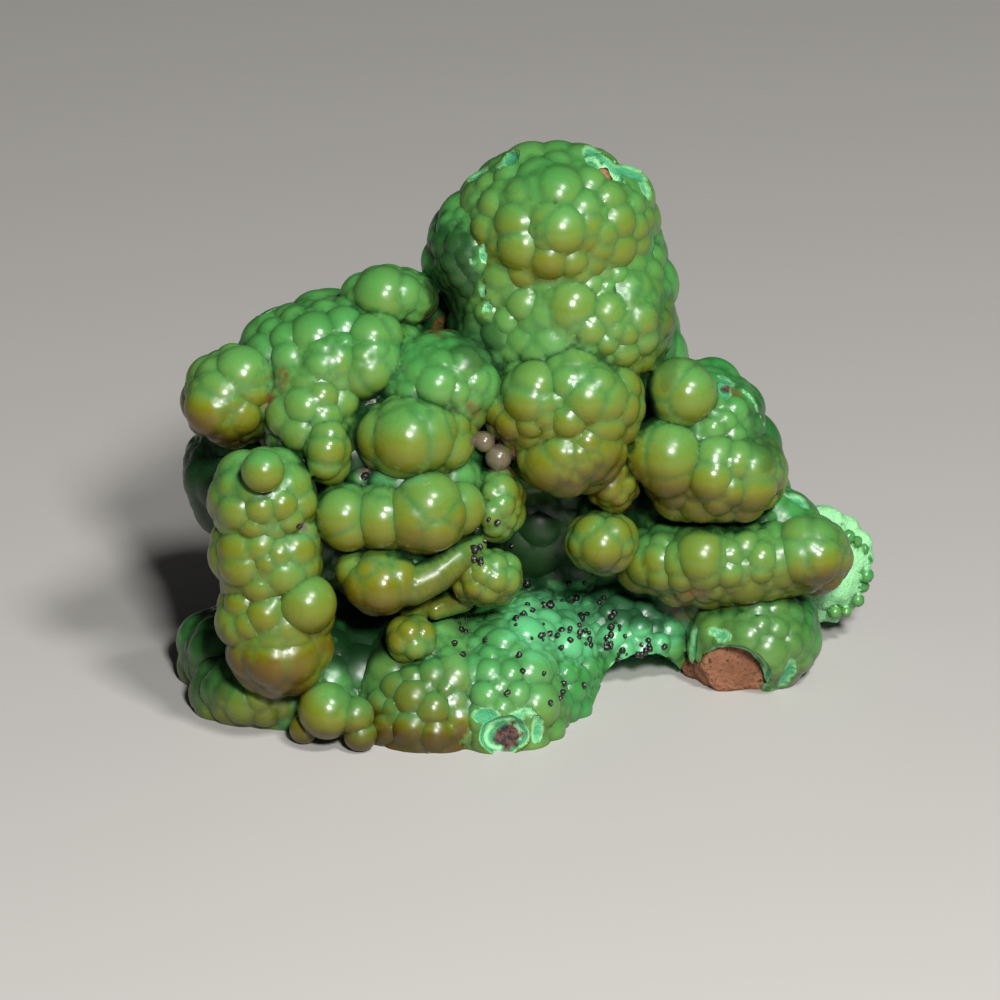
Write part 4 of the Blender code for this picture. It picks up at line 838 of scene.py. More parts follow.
@dataclass
class Skin:
    """The closed skin of a body that is cut by hollows, worked out on a box of grid points.

    The field is sampled at every grid point as whole arrays. A quad is set across each grid
    edge that the skin crosses. Each quad corner is the point of its grid cell that lies
    nearest to the tangent planes at the cell's crossings, in the least-squares sense, so that
    creases stay sharp.

    "low" and "high" are the box's corners, "count" its grid points along each axis. "grown" is
    the field before the cuts and "kept" after them, and "nearest" the number of the ellipsoid
    nearest to each grid point.
    """

    body: GrownBody
    cuts: list[Gap]
    low: Triple
    high: Triple
    step: float
    count: tuple[int, ...] = ()
    grown: Grid | None = None
    kept: Grid | None = None
    nearest: Grid | None = None

    def sample(self) -> None:
        """Fill the grid with the least distance, and each point's nearest ellipsoid."""
        span = np.array(self.high) - np.array(self.low)
        self.count = tuple(int(math.ceil(length / self.step)) + 1 for length in span)
        reach = FIELD_REACH * self.step
        self.grown = np.full(self.count, reach, np.float32)
        self.nearest = np.full(self.count, -1, np.int32)
        places = [self.low[i] + self.step * np.arange(self.count[i]) for i in range(3)]
        body = self.body
        for number, (centre, radii, axes) in enumerate(zip(body.centres, body.radii, body.axes)):
            spread = np.sqrt(((axes * radii) ** 2).sum(axis=1)) + reach
            first = np.maximum(0, np.floor((centre - spread - self.low) / self.step).astype(int))
            last = np.ceil((centre + spread - self.low) / self.step).astype(int) + 1
            last = np.minimum(self.count, last)
            if (last <= first).any():
                continue
            window = tuple(slice(a, b) for a, b in zip(first, last))
            x, y, z = np.meshgrid(*(places[i][window[i]] - centre[i] for i in range(3)),
                                  indexing="ij", sparse=True)
            if radii[0] == radii[1] == radii[2]:
                gap = np.sqrt(x * x + y * y + z * z) - radii[0]
            else:
                local = [x * axes[0, i] + y * axes[1, i] + z * axes[2, i] for i in range(3)]
                scale, steep = (
                    np.sqrt(sum((part / radius ** power) ** 2
                                for part, radius in zip(local, radii))) for power in (1, 2))
                gap = scale * (scale - 1.0) / np.maximum(steep, TINY)
            if body.roughness[number] > 0.0:
                at = np.stack(np.broadcast_arrays(x, y, z), axis=-1).reshape(-1, 3) + centre
                gap = gap + body.roughness[number] * crag(at).reshape(gap.shape)
            part = self.grown[window]
            closer = gap < part
            part[closer] = gap[closer]
            self.nearest[window][closer] = number
        self.kept = self.grown

    def cut_back(self) -> None:
        """Take the hollows and breaks out of the sampled field."""
        self.kept = self.grown.copy()
        spots = np.argwhere(self.grown < CUT_REACH * self.step)
        points = np.array(self.low) + spots * self.step
        values = self.grown[tuple(spots.T)]
        for gap in self.cuts:
            values = np.maximum(values, gap(points))
        self.kept[tuple(spots.T)] = values
        for axis in range(3):
            for end in (0, -1):
                edge = [slice(None)] * 3
                edge[axis] = end
                edge = tuple(edge)
                self.kept[edge] = np.maximum(self.kept[edge], WALL_GAP * self.step)

    def settle(self) -> None:
        """Fill in a corner wherever inside and outside meet only across a square's diagonal.

        Left alone, such a square would make four quads share one edge.
        """
        for _ in range(SETTLE_ROUNDS):
            inside = self.kept < 0.0
            changed = 0
            for axis in range(3):
                other = [i for i in range(3) if i != axis]
                corners = []
                for shift in SQUARE:
                    window = [slice(None)] * 3
                    for i, by in zip(other, shift):
                        window[i] = slice(by, self.count[i] - 1 + by)
                    corners.append(inside[tuple(window)])
                split = (corners[0] == corners[3]) & (corners[1] == corners[2])
                split &= corners[0] != corners[1]
                spots = np.argwhere(split)
                if not len(spots):
                    continue
                changed += len(spots)
                around = np.repeat(spots[:, None, :], len(SQUARE), axis=1)
                for number, shift in enumerate(SQUARE):
                    around[:, number, other] += shift
                values = self.kept[tuple(around.reshape(-1, 3).T)].reshape(-1, len(SQUARE))
                pick = np.where(values >= 0.0, values, np.inf).argmin(axis=1)
                chosen = around[np.arange(len(spots)), pick]
                self.kept[tuple(chosen.T)] = SETTLE_GAP * self.step
            if not changed:
                return

    def measure(self, points: Grid, candidates: Grid) -> tuple[Grid, Grid, Grid, Grid]:
        """Return the field before the cuts, and what it comes from, at points near the skin.

        Args:
            points: An (n, 3) array.
            candidates: An (n, k) array of ellipsoid numbers near each point, -1 for none.

        Returns:
            The least distance, its outward direction, how much further the next ellipsoid is,
            and the nearest ellipsoid's number, -1 for none.
        """
        best = np.full(len(points), np.inf)
        second = np.full(len(points), np.inf)
        owner = np.full(len(points), -1)
        away = np.zeros_like(points)
        for column in candidates.T:
            known = (column >= 0) & (column != owner)
            gap = np.full(len(points), np.inf)
            direction = np.zeros_like(points)
            gap[known], direction[known] = self.body.distance(points[known], column[known])
            nearer = gap < best
            second = np.where(nearer, best, np.minimum(second, gap))
            best = np.where(nearer, gap, best)
            owner = np.where(nearer, column, owner)
            away[nearer] = direction[nearer]
        return best, away, second - best, owner

    def with_cuts(self, points: Grid, candidates: Grid) -> tuple[Grid, Grid]:
        """Return the cut field and its outward direction at points near the skin."""
        value, away = self.measure(points, candidates)[:2]
        for gap in self.cuts:
            cut = gap(points)
            bare = cut > value
            if not bare.any():
                continue
            value[bare] = cut[bare]
            at = points[bare]
            slope = np.stack([gap(at + side) - gap(at - side)
                              for side in SLOPE_REACH * np.eye(3)], axis=1)
            length = np.maximum(np.linalg.norm(slope, axis=1, keepdims=True), TINY)
            away[bare] = slope / length
        return value, away

    def crossings(self, axis: int) -> tuple[Grid, Grid, Grid]:
        """Find where the skin crosses the grid edges along one axis.

        Each crossing is found by halving the edge between its inside and outside ends.

        Args:
            axis: 0, 1 or 2.

        Returns:
            The crossing points, the outward directions there, and the four grid cells round
            each edge, in the order that makes an outward quad.
        """
        lower, upper = [slice(None)] * 3, [slice(None)] * 3
        lower[axis], upper[axis] = slice(0, -1), slice(1, None)
        inside = self.kept < 0.0
        first = np.argwhere(inside[tuple(lower)] != inside[tuple(upper)])
        last = first + np.eye(3, dtype=int)[axis]
        starts_inside = self.kept[tuple(first.T)] < 0.0
        candidates = np.stack([self.nearest[tuple(first.T)], self.nearest[tuple(last.T)]], 1)
        start = np.array(self.low) + first * self.step
        low, high = np.zeros(len(first)), np.ones(len(first))
        for _ in range(BISECTIONS):
            middle = 0.5 * (low + high)
            points = start.copy()
            points[:, axis] += middle * self.step
            value = self.with_cuts(points, candidates)[0]
            near_start = (value < 0.0) == starts_inside
            low = np.where(near_start, middle, low)
            high = np.where(near_start, high, middle)
        points = start.copy()
        points[:, axis] += 0.5 * (low + high) * self.step
        away = self.with_cuts(points, candidates)[1]
        second, third = ((1, 2), (2, 0), (0, 1))[axis]
        ring = []
        for by_second, by_third in ((-1, -1), (0, -1), (0, 0), (-1, 0)):
            cell = first.copy()
            cell[:, second] += by_second
            cell[:, third] += by_third
            ring.append(np.ravel_multi_index(tuple(cell.T), self.count))
        cells = np.stack(ring, axis=1)
        return points, away, np.where(starts_inside[:, None], cells, cells[:, ::-1])

    def quads(self) -> tuple[Grid, Grid]:
        """Return the skin's corner points and its quads."""
        found = [self.crossings(axis) for axis in range(3)]
        points, away, cells = (np.concatenate(part) for part in zip(*found))
        used, corner = np.unique(cells, return_inverse=True)
        corner = corner.reshape(cells.shape)
        at = corner.ravel()
        every_point, every_away = np.repeat(points, 4, axis=0), np.repeat(away, 4, axis=0)
        total = len(used)
        shares = np.bincount(at, minlength=total)[:, None]
        middle = np.stack([np.bincount(at, every_point[:, i], total) for i in range(3)],
                          axis=1) / shares
        offset = (every_away * (every_point - middle[at])).sum(axis=1)
        square = np.zeros((total, 3, 3))
        right = np.zeros((total, 3))
        for i in range(3):
            right[:, i] = np.bincount(at, every_away[:, i] * offset, total)
            for j in range(3):
                square[:, i, j] = np.bincount(at, every_away[:, i] * every_away[:, j], total)
        size, turn = np.linalg.eigh(square)
        inverse = np.where(size > FLATNESS * size[:, 2:3], 1.0 / np.maximum(size, TINY), 0.0)
        move = np.einsum("nij,nj->ni", turn, inverse * np.einsum("nij,ni->nj", turn, right))
        cell = np.stack(np.unravel_index(used, self.count), axis=1)
        corner_low = np.array(self.low) + cell * self.step
        slack = CELL_SLACK * self.step
        place = np.clip(middle + move, corner_low - slack, corner_low + self.step + slack)
        return place, corner

    def piece(self, name: str, most_triangles: int) -> bpy.types.Object:
        """Cut the sampled field back and make a mesh of its skin.

        Args:
            name: The piece's name.
            most_triangles: How many triangles it may have.

        Returns:
            The skin as one piece.
        """
        self.cut_back()
        self.settle()
        piece = mesh_from(name, *self.quads())
        thin(piece, most_triangles)
        return piece

    def near(self, points: Grid) -> Grid:
        """Return the numbers of the ellipsoids nearest to the grid points round each point."""
        base = np.floor((points - self.low) / self.step).astype(int)
        top = np.array(self.count) - 1
        return np.stack([self.nearest[tuple(np.clip(base + shift, 0, top).T)]
                         for shift in NEIGHBOURS], axis=1)

    def fullness(self, radius: float) -> Grid:
        """Return, for every grid point, the share of a box round it that is solid.

        Args:
            radius: Half the box's width, in millimetres.

        Returns:
            The running mean of the solid along each axis in turn.
        """
        share = (self.kept < 0.0).astype(np.float32)
        reach = max(1, int(round(radius / self.step)))
        for axis in range(3):
            padded = np.concatenate([np.zeros_like(share.take([0], axis)),
                                     np.cumsum(share, axis=axis, dtype=np.float32)], axis=axis)
            index = np.arange(self.count[axis])
            last = np.minimum(index + reach + 1, self.count[axis])
            first = np.maximum(index - reach, 0)
            share = (padded.take(last, axis) - padded.take(first, axis)) / (2 * reach + 1)
        return share

    def slope(self, values: Grid, points: Grid) -> Grid:
        """Return the unit directions in which a grid of values falls off at points."""
        reach = SLOPE_STEPS * self.step * np.eye(3)
        fall = np.stack([self.read(values, points - side) - self.read(values, points + side)
                         for side in reach], axis=1)
        return fall / np.maximum(np.linalg.norm(fall, axis=1, keepdims=True), TINY)

    def read(self, values: Grid, points: Grid) -> Grid:
        """Return a grid of values read at points, at the nearest grid point to each."""
        spot = np.rint((points - self.low) / self.step).astype(int)
        return values[tuple(np.clip(spot, 0, np.array(self.count) - 1).T)]


def mesh_from(name: str, points: Grid, faces: Grid) -> bpy.types.Object:
    """Make an object from arrays of points in millimetres and of faces.

    Args:
        name: The piece's name.
        points: An (n, 3) array.
        faces: An (m, 3) or (m, 4) array of point numbers.

    Returns:
        The object, linked to the scene, smooth shaded.
    """
    mesh = bpy.data.meshes.new(name)
    mesh.vertices.add(len(points))
    mesh.vertices.foreach_set("co", (points * MM).astype(np.float32).ravel())
    sides = faces.shape[1]
    mesh.loops.add(faces.size)
    mesh.loops.foreach_set("vertex_index", faces.astype(np.int32).ravel())
    mesh.polygons.add(len(faces))
    mesh.polygons.foreach_set("loop_start", np.arange(0, faces.size, sides, dtype=np.int32))
    mesh.update(calc_edges=True)
    mesh.validate()
    mesh.shade_smooth()
    piece = bpy.data.objects.new(name, mesh)
    bpy.context.scene.collection.objects.link(piece)
    return piece


def thin(piece: bpy.types.Object, most: int) -> None:
    """Collapse a mesh's flattest edges until it has no more than so many triangles."""
    piece.data.calc_loop_triangles()
    count = len(piece.data.loop_triangles)
    if count <= most:
        return
    fewer = piece.modifiers.new("thin", "DECIMATE")
    fewer.ratio = most / count
    fewer.use_collapse_triangulate = True
    bpy.context.view_layer.update()
    graph = bpy.context.evaluated_depsgraph_get()
    mesh = bpy.data.meshes.new_from_object(piece.evaluated_get(graph), depsgraph=graph)
    piece.modifiers.clear()
    old = piece.data
    piece.data = mesh
    bpy.data.meshes.remove(old)


def split_creases(piece: bpy.types.Object) -> None:
    """Mark every sharp fold of a mesh, so that its two sides are shaded apart."""
    piece.data.set_sharp_from_angle(angle=CREASE_ANGLE)


def points_and_directions(piece: bpy.types.Object) -> tuple[Grid, Grid]:
    """Return a mesh's points in millimetres and its outward directions there."""
    count = len(piece.data.vertices)
    points, away = np.empty(count * 3, np.float32), np.empty(count * 3, np.float32)
    piece.data.vertices.foreach_get("co", points)
    piece.data.vertices.foreach_get("normal", away)
    return points.reshape(-1, 3).astype(float) / MM, away.reshape(-1, 3).astype(float)


def set_field(piece: bpy.types.Object, name: str, values: Grid) -> None:
    """Store one number for each point of a mesh under a name."""
    attribute = piece.data.attributes.new(name, "FLOAT", "POINT")
    attribute.data.foreach_set("value", np.asarray(values, np.float32))


def patched(points: Grid, patches: Sequence[Patch], ragged: float) -> Grid:
    """Return how strongly round patches of the chart cover each point, 0 to 1.

    Args:
        points: An (n, 3) array in millimetres.
        patches: The patches.
        ragged: How far noise moves a patch's edge, as a share of its radius.

    Returns:
        The strongest patch's cover: 1 well inside its ellipse, 0 outside.
    """
    across, up = chart_of(points)
    behind = points[:, 1] - ORIGIN_SHIFT[1]
    edge = sum(weight * ragged * soft_noise(points, size, seed)
               for weight, size, seed in PATCH_LAYERS)
    cover = np.zeros(len(points))
    for patch in patches:
        reach = np.hypot((across - patch.across) / patch.wide, (up - patch.up) / patch.tall)
        strength = patch.strength * smooth_step(patch.beyond - PATCH_DEPTH_FADE,
                                                patch.beyond + PATCH_DEPTH_FADE, behind)
        cover = np.maximum(cover, strength * (1.0 - smooth_step(*PATCH_FADE, reach + edge)))
    return cover


class Recipe:
    """A material's node sheet, with short ways to add nodes and join them."""

    def __init__(self, name: str) -> None:
        """Start a material that has only a Principled shader."""
        self.material = bpy.data.materials.new(name)
        self.material.use_nodes = True
        self.tree = self.material.node_tree
        self.shader = self.tree.nodes["Principled BSDF"]
        self.place = self.add("ShaderNodeTexCoord").outputs["Object"]

    def add(self, kind: str, **settings: object) -> bpy.types.Node:
        """Add a node and set its properties."""
        node = self.tree.nodes.new(kind)
        for name, value in settings.items():
            setattr(node, name, value)
        return node

    def feed(self, socket: Socket, value: object) -> None:
        """Join a socket to another, or set it to a plain value."""
        if isinstance(value, Socket):
            self.tree.links.new(value, socket)
        else:
            socket.default_value = value

    def stored(self, name: str) -> Socket:
        """Return a mesh's stored number."""
        return self.add("ShaderNodeAttribute", attribute_name=name).outputs["Fac"]

    def noise(self, size: float, detail: float = 3.0, rough: float = 0.55) -> Socket:
        """Return noise in 0..1 whose features are about so many millimetres wide."""
        node = self.add("ShaderNodeTexNoise")
        self.feed(node.inputs["Vector"], self.place)
        node.inputs["Scale"].default_value = 1.0 / (size * MM)
        node.inputs["Detail"].default_value = detail
        node.inputs["Roughness"].default_value = rough
        return node.outputs["Fac"]

    def cells(self, size: float, feature: str = "F1") -> Socket:
        """Return the distance field of random cells about so many millimetres wide."""
        node = self.add("ShaderNodeTexVoronoi", feature=feature)
        self.feed(node.inputs["Vector"], self.place)
        node.inputs["Scale"].default_value = 1.0 / (size * MM)
        return node.outputs["Distance"]

    def calc(self, operation: str, first: object, second: object = 0.0) -> Socket:
        """Return what one Math node works out."""
        node = self.add("ShaderNodeMath", operation=operation)
        self.feed(node.inputs[0], first)
        self.feed(node.inputs[1], second)
        return node.outputs[0]

    def times(self, first: object, second: object) -> Socket:
        """Return two values multiplied."""
        return self.calc("MULTIPLY", first, second)

    def centred(self, value: object, spread: float) -> Socket:
        """Return a value in 0..1 moved to lie about 0, so many units from end to end."""
        return self.times(self.calc("SUBTRACT", value, 0.5), spread)

    def ramp(self, value: object, low: float, high: float, start: float = 0.0,
             end: float = 1.0) -> Socket:
        """Return start below low and end above high, with a smooth change between."""
        node = self.add("ShaderNodeMapRange", interpolation_type="SMOOTHSTEP")
        for name, number in (("From Min", low), ("From Max", high), ("To Min", start),
                             ("To Max", end)):
            node.inputs[name].default_value = number
        self.feed(node.inputs["Value"], value)
        return node.outputs["Result"]

    def mix(self, share: object, first: object, second: object) -> Socket:
        """Return a colour between two, by a share."""
        node = self.add("ShaderNodeMix", data_type="RGBA")
        self.feed(node.inputs["Factor"], share)
        self.feed(node.inputs[COLOUR_A], first)
        self.feed(node.inputs[COLOUR_B], second)
        return node.outputs[COLOUR_OUT]

    def lay(self, colour: object, layers: Iterable[tuple[object, object]]) -> Socket:
        """Return a colour with others laid over it in turn, each a share and a colour."""
        for share, tint in layers:
            colour = self.mix(share, colour, tint)
        return colour

    def bump(self, height: object, depth: float, under: Socket | None = None) -> Socket:
        """Return a normal bent by a height in 0..1 that is worth so many millimetres."""
        node = self.add("ShaderNodeBump")
        node.inputs["Distance"].default_value = depth * MM
        self.feed(node.inputs["Height"], height)
        if under is not None:
            self.feed(node.inputs["Normal"], under)
        return node.outputs["Normal"]

    def finish(self, colour: object, roughness: object, normal: Socket | None = None,
               specular: float = 0.5) -> bpy.types.Material:
        """Feed the shader.

        Args:
            colour: Base colour.
            roughness: Roughness.
            normal: The bent normal, if there is one.
            specular: Specular level, a plain number.

        Returns:
            The finished material.
        """
        self.feed(self.shader.inputs["Base Color"], colour)
        self.feed(self.shader.inputs["Roughness"], roughness)
        self.shader.inputs["Specular IOR Level"].default_value = specular
        if normal is not None:
            self.feed(self.shader.inputs["Normal"], normal)
        return self.material


@dataclass(frozen=True)
class MalachiteFinish:
    """Waxy malachite: olive where lumps stand proud and green in recesses, with painted light and
    shade laid over it: brighter green on faces that look up, browner on those that look down, and
    darker toward near black in creases, nooks and gaps.

    A noise is its size in millimetres, then its detail and roughness where they aren't the
    usual ones. A ramp is its start and end. A share is how strongly a colour covers the rest.
    """

    olive: Colour = srgb(98, 104, 18)
    brown: Colour = srgb(84, 64, 6)
    green: Colour = srgb(80, 134, 66)
    bright_green: Colour = srgb(42, 122, 58)
    # Deep green lies in recesses, partly as painted shade, and stains broken faces.
    green_deep: Colour = srgb(20, 78, 34)
    # The crease colour marks cracks and dark seams, and is also painted shade in nooks.
    crease: Colour = srgb(11, 42, 16)
    # Near black, for painted shade.
    painted_shade: Colour = srgb(5, 28, 9)
    core: Colour = srgb(88, 48, 40)
    core_dark: Colour = srgb(20, 14, 12)
    teal: Colour = srgb(80, 162, 104)
    mint: Colour = srgb(136, 200, 140)
    mint_deep: Colour = srgb(60, 146, 96)
    rust: Colour = srgb(106, 62, 26)
    grey: Colour = srgb(92, 82, 64)

    speck_noise: tuple[float, ...] = (0.9, 3.0, 0.65)
    speck_spread: float = 0.12          # how far specks move the warmth
    chance_spread: float = 0.16         # and each lump's own chance
    olive_ramp: Pair = (-0.05, 0.72)    # warmth from green to olive
    brown_ramp: Pair = (0.55, 1.10)     # and from olive to brown
    fresh_noise: tuple[float, ...] = (9.0, 2.0)
    fresh_ramp: Pair = (0.4, 0.8)
    bright_green_share: float = 0.5
    craze_size: float = 3.0             # fine cracks round cells of this size
    craze_width: float = 0.03           # as a share of a cell
    craze_share: float = 0.16
    craze_noise: tuple[float, ...] = (5.0,)
    craze_ramp: Pair = (0.42, 0.60)
    # How strongly painted shade covers the rest.
    painted_shade_share: float = 0.9
    crease_share: float = 0.80
    rust_ramp: Pair = (0.36, 0.6)
    core_ramp: Pair = (0.42, 0.58)

    band_turns: float = 4.4             # radians of a band for each millimetre of depth
    band_noise: tuple[float, ...] = (3.0, 2.0)
    band_wave: float = 2.6              # and how far noise moves it
    band_speck: float = 1.1
    band_ramp: Pair = (-0.2, 1.6)
    stain_noise: tuple[float, ...] = (2.4,)
    stain_ramp: Pair = (0.62, 0.78)

    gloss: float = 0.22                 # roughness where the skin is glossiest
    gloss_spread: float = 0.13
    smudge_noise: tuple[float, ...] = (2.8, 1.0)
    smudge_ramp: Pair = (0.3, 0.75)
    dull: Colour = (0.62, 0.62, 0.62, 1.0)      # roughness of breaks
    hidden_share: float = 0.4           # how much creases and shade are dulled as well
    specular: float = 0.44
    skin_noise: tuple[float, ...] = (1.6, 1.0)
    break_noise: tuple[float, ...] = (0.5, 3.0, 0.7)
    relief: float = 0.35                # height of the breaks' grain, in millimetres
    skin_relief: float = 0.14           # and the skin's, as a share of it

    def skin(self, recipe: Recipe, speck: Socket) -> Socket:
        """Return the grown skin's colour.

        It goes from green to olive and brown by the stored warmth, which is partly painted light
        and shade, and to deep green in recesses, partly painted shade. Then it takes crazing,
        painted shade, creases that are partly painted shade, rust and grey.
        """
        own = recipe.calc("ADD", recipe.centred(speck, self.speck_spread),
                          recipe.centred(recipe.stored(CHANCE), self.chance_spread))
        warmth = recipe.calc("ADD", recipe.stored(WARM), own)
        bright_green = recipe.ramp(recipe.noise(*self.fresh_noise), *self.fresh_ramp, 0.0,
                            self.bright_green_share)
        cracks = recipe.ramp(recipe.cells(self.craze_size, "DISTANCE_TO_EDGE"), 0.0,
                             self.craze_width, self.craze_share, 0.0)
        crazed = recipe.times(
            cracks, recipe.ramp(recipe.noise(*self.craze_noise), *self.craze_ramp))
        rusty = recipe.times(recipe.stored(RUST), recipe.ramp(speck, *self.rust_ramp))
        return recipe.lay(self.green, (
            # Bright green stored by which way the skin faces is painted light; the deep green of
            # recesses is partly painted shade.
            (bright_green, self.bright_green), (recipe.stored(BRIGHT_GREEN), self.bright_green),
            (recipe.stored(DEEP_GREEN_AND_SHADE), self.green_deep), (recipe.stored(TEAL), self.teal),
            (recipe.ramp(warmth, *self.olive_ramp), self.olive),
            (recipe.ramp(warmth, *self.brown_ramp), self.brown), (crazed, self.crease),
            # Painted shade toward near black, then creases, darkened partly as painted shade.
            (recipe.times(recipe.stored(PAINTED_SHADE), self.painted_shade_share), self.painted_shade),
            (recipe.times(recipe.stored(CREASE), self.crease_share), self.crease),
            (rusty, self.rust), (recipe.stored(GREY), self.grey)))

    def bands(self, recipe: Recipe, speck: Socket) -> Socket:
        """Return the broken faces' colour: mint bands by their depth under the grown skin."""
        phase = recipe.calc("ADD", recipe.times(recipe.stored(DEPTH), self.band_turns),
                            recipe.times(recipe.noise(*self.band_noise), self.band_wave))
        bands = recipe.calc("ADD", recipe.calc("SINE", phase),
                            recipe.times(speck, self.band_speck))
        stain = recipe.ramp(recipe.noise(*self.stain_noise), *self.stain_ramp)
        return recipe.lay(self.mint_deep, ((recipe.ramp(bands, *self.band_ramp), self.mint),
                                           (stain, self.green_deep)))

    def roughness(self, recipe: Recipe, broken: Socket) -> Socket:
        """Return the roughness: smudged gloss, duller in creases and shade, dull on breaks."""
        smudge = recipe.ramp(recipe.noise(*self.smudge_noise), *self.smudge_ramp, self.gloss,
                             self.gloss + self.gloss_spread)
        hidden = recipe.calc("MAXIMUM", recipe.stored(CREASE), recipe.stored(PAINTED_SHADE))
        hidden = recipe.times(hidden, self.hidden_share)
        return recipe.mix(recipe.calc("MAXIMUM", broken, hidden), smudge, self.dull)

    def make(self) -> bpy.types.Material:
        """Build the material.

        Returns:
            A Principled material: the grown skin, the bands where it is broken, and the dark
            core in the bottom break.
        """
        recipe = Recipe("malachite_finish")
        speck, broken = recipe.noise(*self.speck_noise), recipe.stored(BREAK)
        core = recipe.mix(recipe.ramp(speck, *self.core_ramp), self.core_dark, self.core)
        colour = recipe.lay(self.skin(recipe, speck), ((broken, self.bands(recipe, speck)),
                                                       (recipe.stored(CORE), core)))
        grain = recipe.mix(broken, recipe.noise(*self.skin_noise),
                           recipe.noise(*self.break_noise))
        height = recipe.times(grain, recipe.ramp(broken, 0.0, 1.0, self.skin_relief, 1.0))
        return recipe.finish(colour, self.roughness(recipe, broken),
                             recipe.bump(height, self.relief), self.specular)


@dataclass(frozen=True)
class Layer:
    """A colour that lies where noise is high: the colour, the noise and its ramp."""

    colour: Colour
    noise: tuple[float, ...]
    ramp: Pair


@dataclass(frozen=True)
class IronstoneFinish:
    """Dull red-brown rock with paler, rusty, dark and green grains."""

    brown: Colour = srgb(124, 80, 56)
    fine_noise: tuple[float, ...] = (0.8, 4.0, 0.7)
    layers: tuple[Layer, ...] = (
        Layer(srgb(152, 104, 74), (6.0, 5.0, 0.6), (0.35, 0.65)),
        Layer(srgb(150, 88, 52), (2.6, 5.0), (0.60, 0.78)),
        Layer(srgb(58, 38, 32), fine_noise, (0.56, 0.68)),
        Layer(srgb(70, 140, 96), (4.4, 5.0, 0.7), (0.66, 0.74)))
    roughness: tuple[float, ...] = (0.3, 0.7, 0.72, 0.92)       # its ramp over the fine noise
    specular: float = 0.35
    grain_size: float = 0.7
    grain_relief: float = 0.25
    relief: float = 0.45

    def make(self) -> bpy.types.Material:
        """Build the material: noise mixes the browns, and small cells make the grains."""
        recipe = Recipe("ironstone_finish")
        colour = recipe.lay(self.brown, (
            (recipe.ramp(recipe.noise(*layer.noise), *layer.ramp), layer.colour)
            for layer in self.layers))
        fine = recipe.noise(*self.fine_noise)
        grains = recipe.bump(recipe.cells(self.grain_size), self.grain_relief)
        return recipe.finish(colour, recipe.ramp(fine, *self.roughness),
                             recipe.bump(fine, self.relief, grains), self.specular)


@dataclass(frozen=True)
class GrainFinish:
    """Near-black, half-shiny manganese grains, a few of them with a pale face."""

    black: Colour = srgb(26, 24, 24)
    pale: Layer = Layer(srgb(150, 150, 140), (0.5, 2.0), (0.62, 0.7))
    roughness: float = 0.3
    dent_size: float = 0.25
    relief: float = 0.08

    def make(self) -> bpy.types.Material:
        """Build the material: noise about as wide as a grain picks out the pale faces."""
        recipe = Recipe("dark_grain_finish")
        share = recipe.ramp(recipe.noise(*self.pale.noise), *self.pale.ramp)
        return recipe.finish(recipe.mix(share, self.black, self.pale.colour), self.roughness,
                             recipe.bump(recipe.noise(self.dent_size), self.relief))


@dataclass(frozen=True)
class Weathering:
    """How the crust's colour fields follow its shape, painted light and shade among them: bright
    green on faces that look up, brown and shade on those that look down, and darker green to
    near black in recesses, nooks, seams and gaps.

    A pair is the start and end of a smooth step. A lift is how far off the skin its
    surroundings are read. "Turned" runs from -1 for a face that looks down to 1 for one that
    looks up.
    """

    wide_reach: float = 5.0             # half-width of the box that shows recesses
    narrow_reach: float = 1.6           # and of the box that shows nooks
    wide_lift: float = 2.0
    narrow_lift: float = 0.6
    lean_lift: float = 1.0
    lobe_turn: float = 0.62             # how much a lobe's own turn counts
    lump_turn: float = 0.38             # and a lump's
    broken: Pair = (0.10, 0.35)         # depth under the grown skin
    recess: Pair = (0.50, 0.78)         # solid share of the wide box
    gap: Pair = (0.57, 0.77)            # the same, for a gap painted near black as shade
    nook: Pair = (0.42, 0.62)           # solid share of the narrow box
    warmth: Pair = (-0.60, 1.10)        # turn over which warmth goes, as painted light: olive fades on faces that look up
    lit_top_green: Pair = (0.35, 0.95)      # turn over which bright green comes, as painted light on faces that look up
    side_green: Pair = (0.45, 0.95)     # and how far a lobe faces sideways, for bright green on its sides
    bright_green_tone: float = 1.15            # no bright green at this tone
    bright_green_share: float = 0.8
    cool: Pair = (-0.5, 0.6)            # turn over which seams turn green
    under: Pair = (0.10, 0.90)          # downward turn that is painted as shade
    under_painted_shade: float = 0.45
    recess_cools: float = 0.5           # how much warmth each takes away
    seam_cools: float = 0.6
    bright_green_cools: float = 0.4
    # Deep green laid in recesses and nooks, partly as painted shade.
    recess_green_and_shade: float = 0.55
    nook_green_and_shade: float = 0.45
    open_crease: float = 0.5            # a crease's depth outside nooks, over its depth there; the extra depth in nooks is painted shade
    seam_painted_shade: float = 0.30           # depth of the painted shade along a seam's soft edge
    open_rust: float = 0.25             # rust away from seams, over rust in them


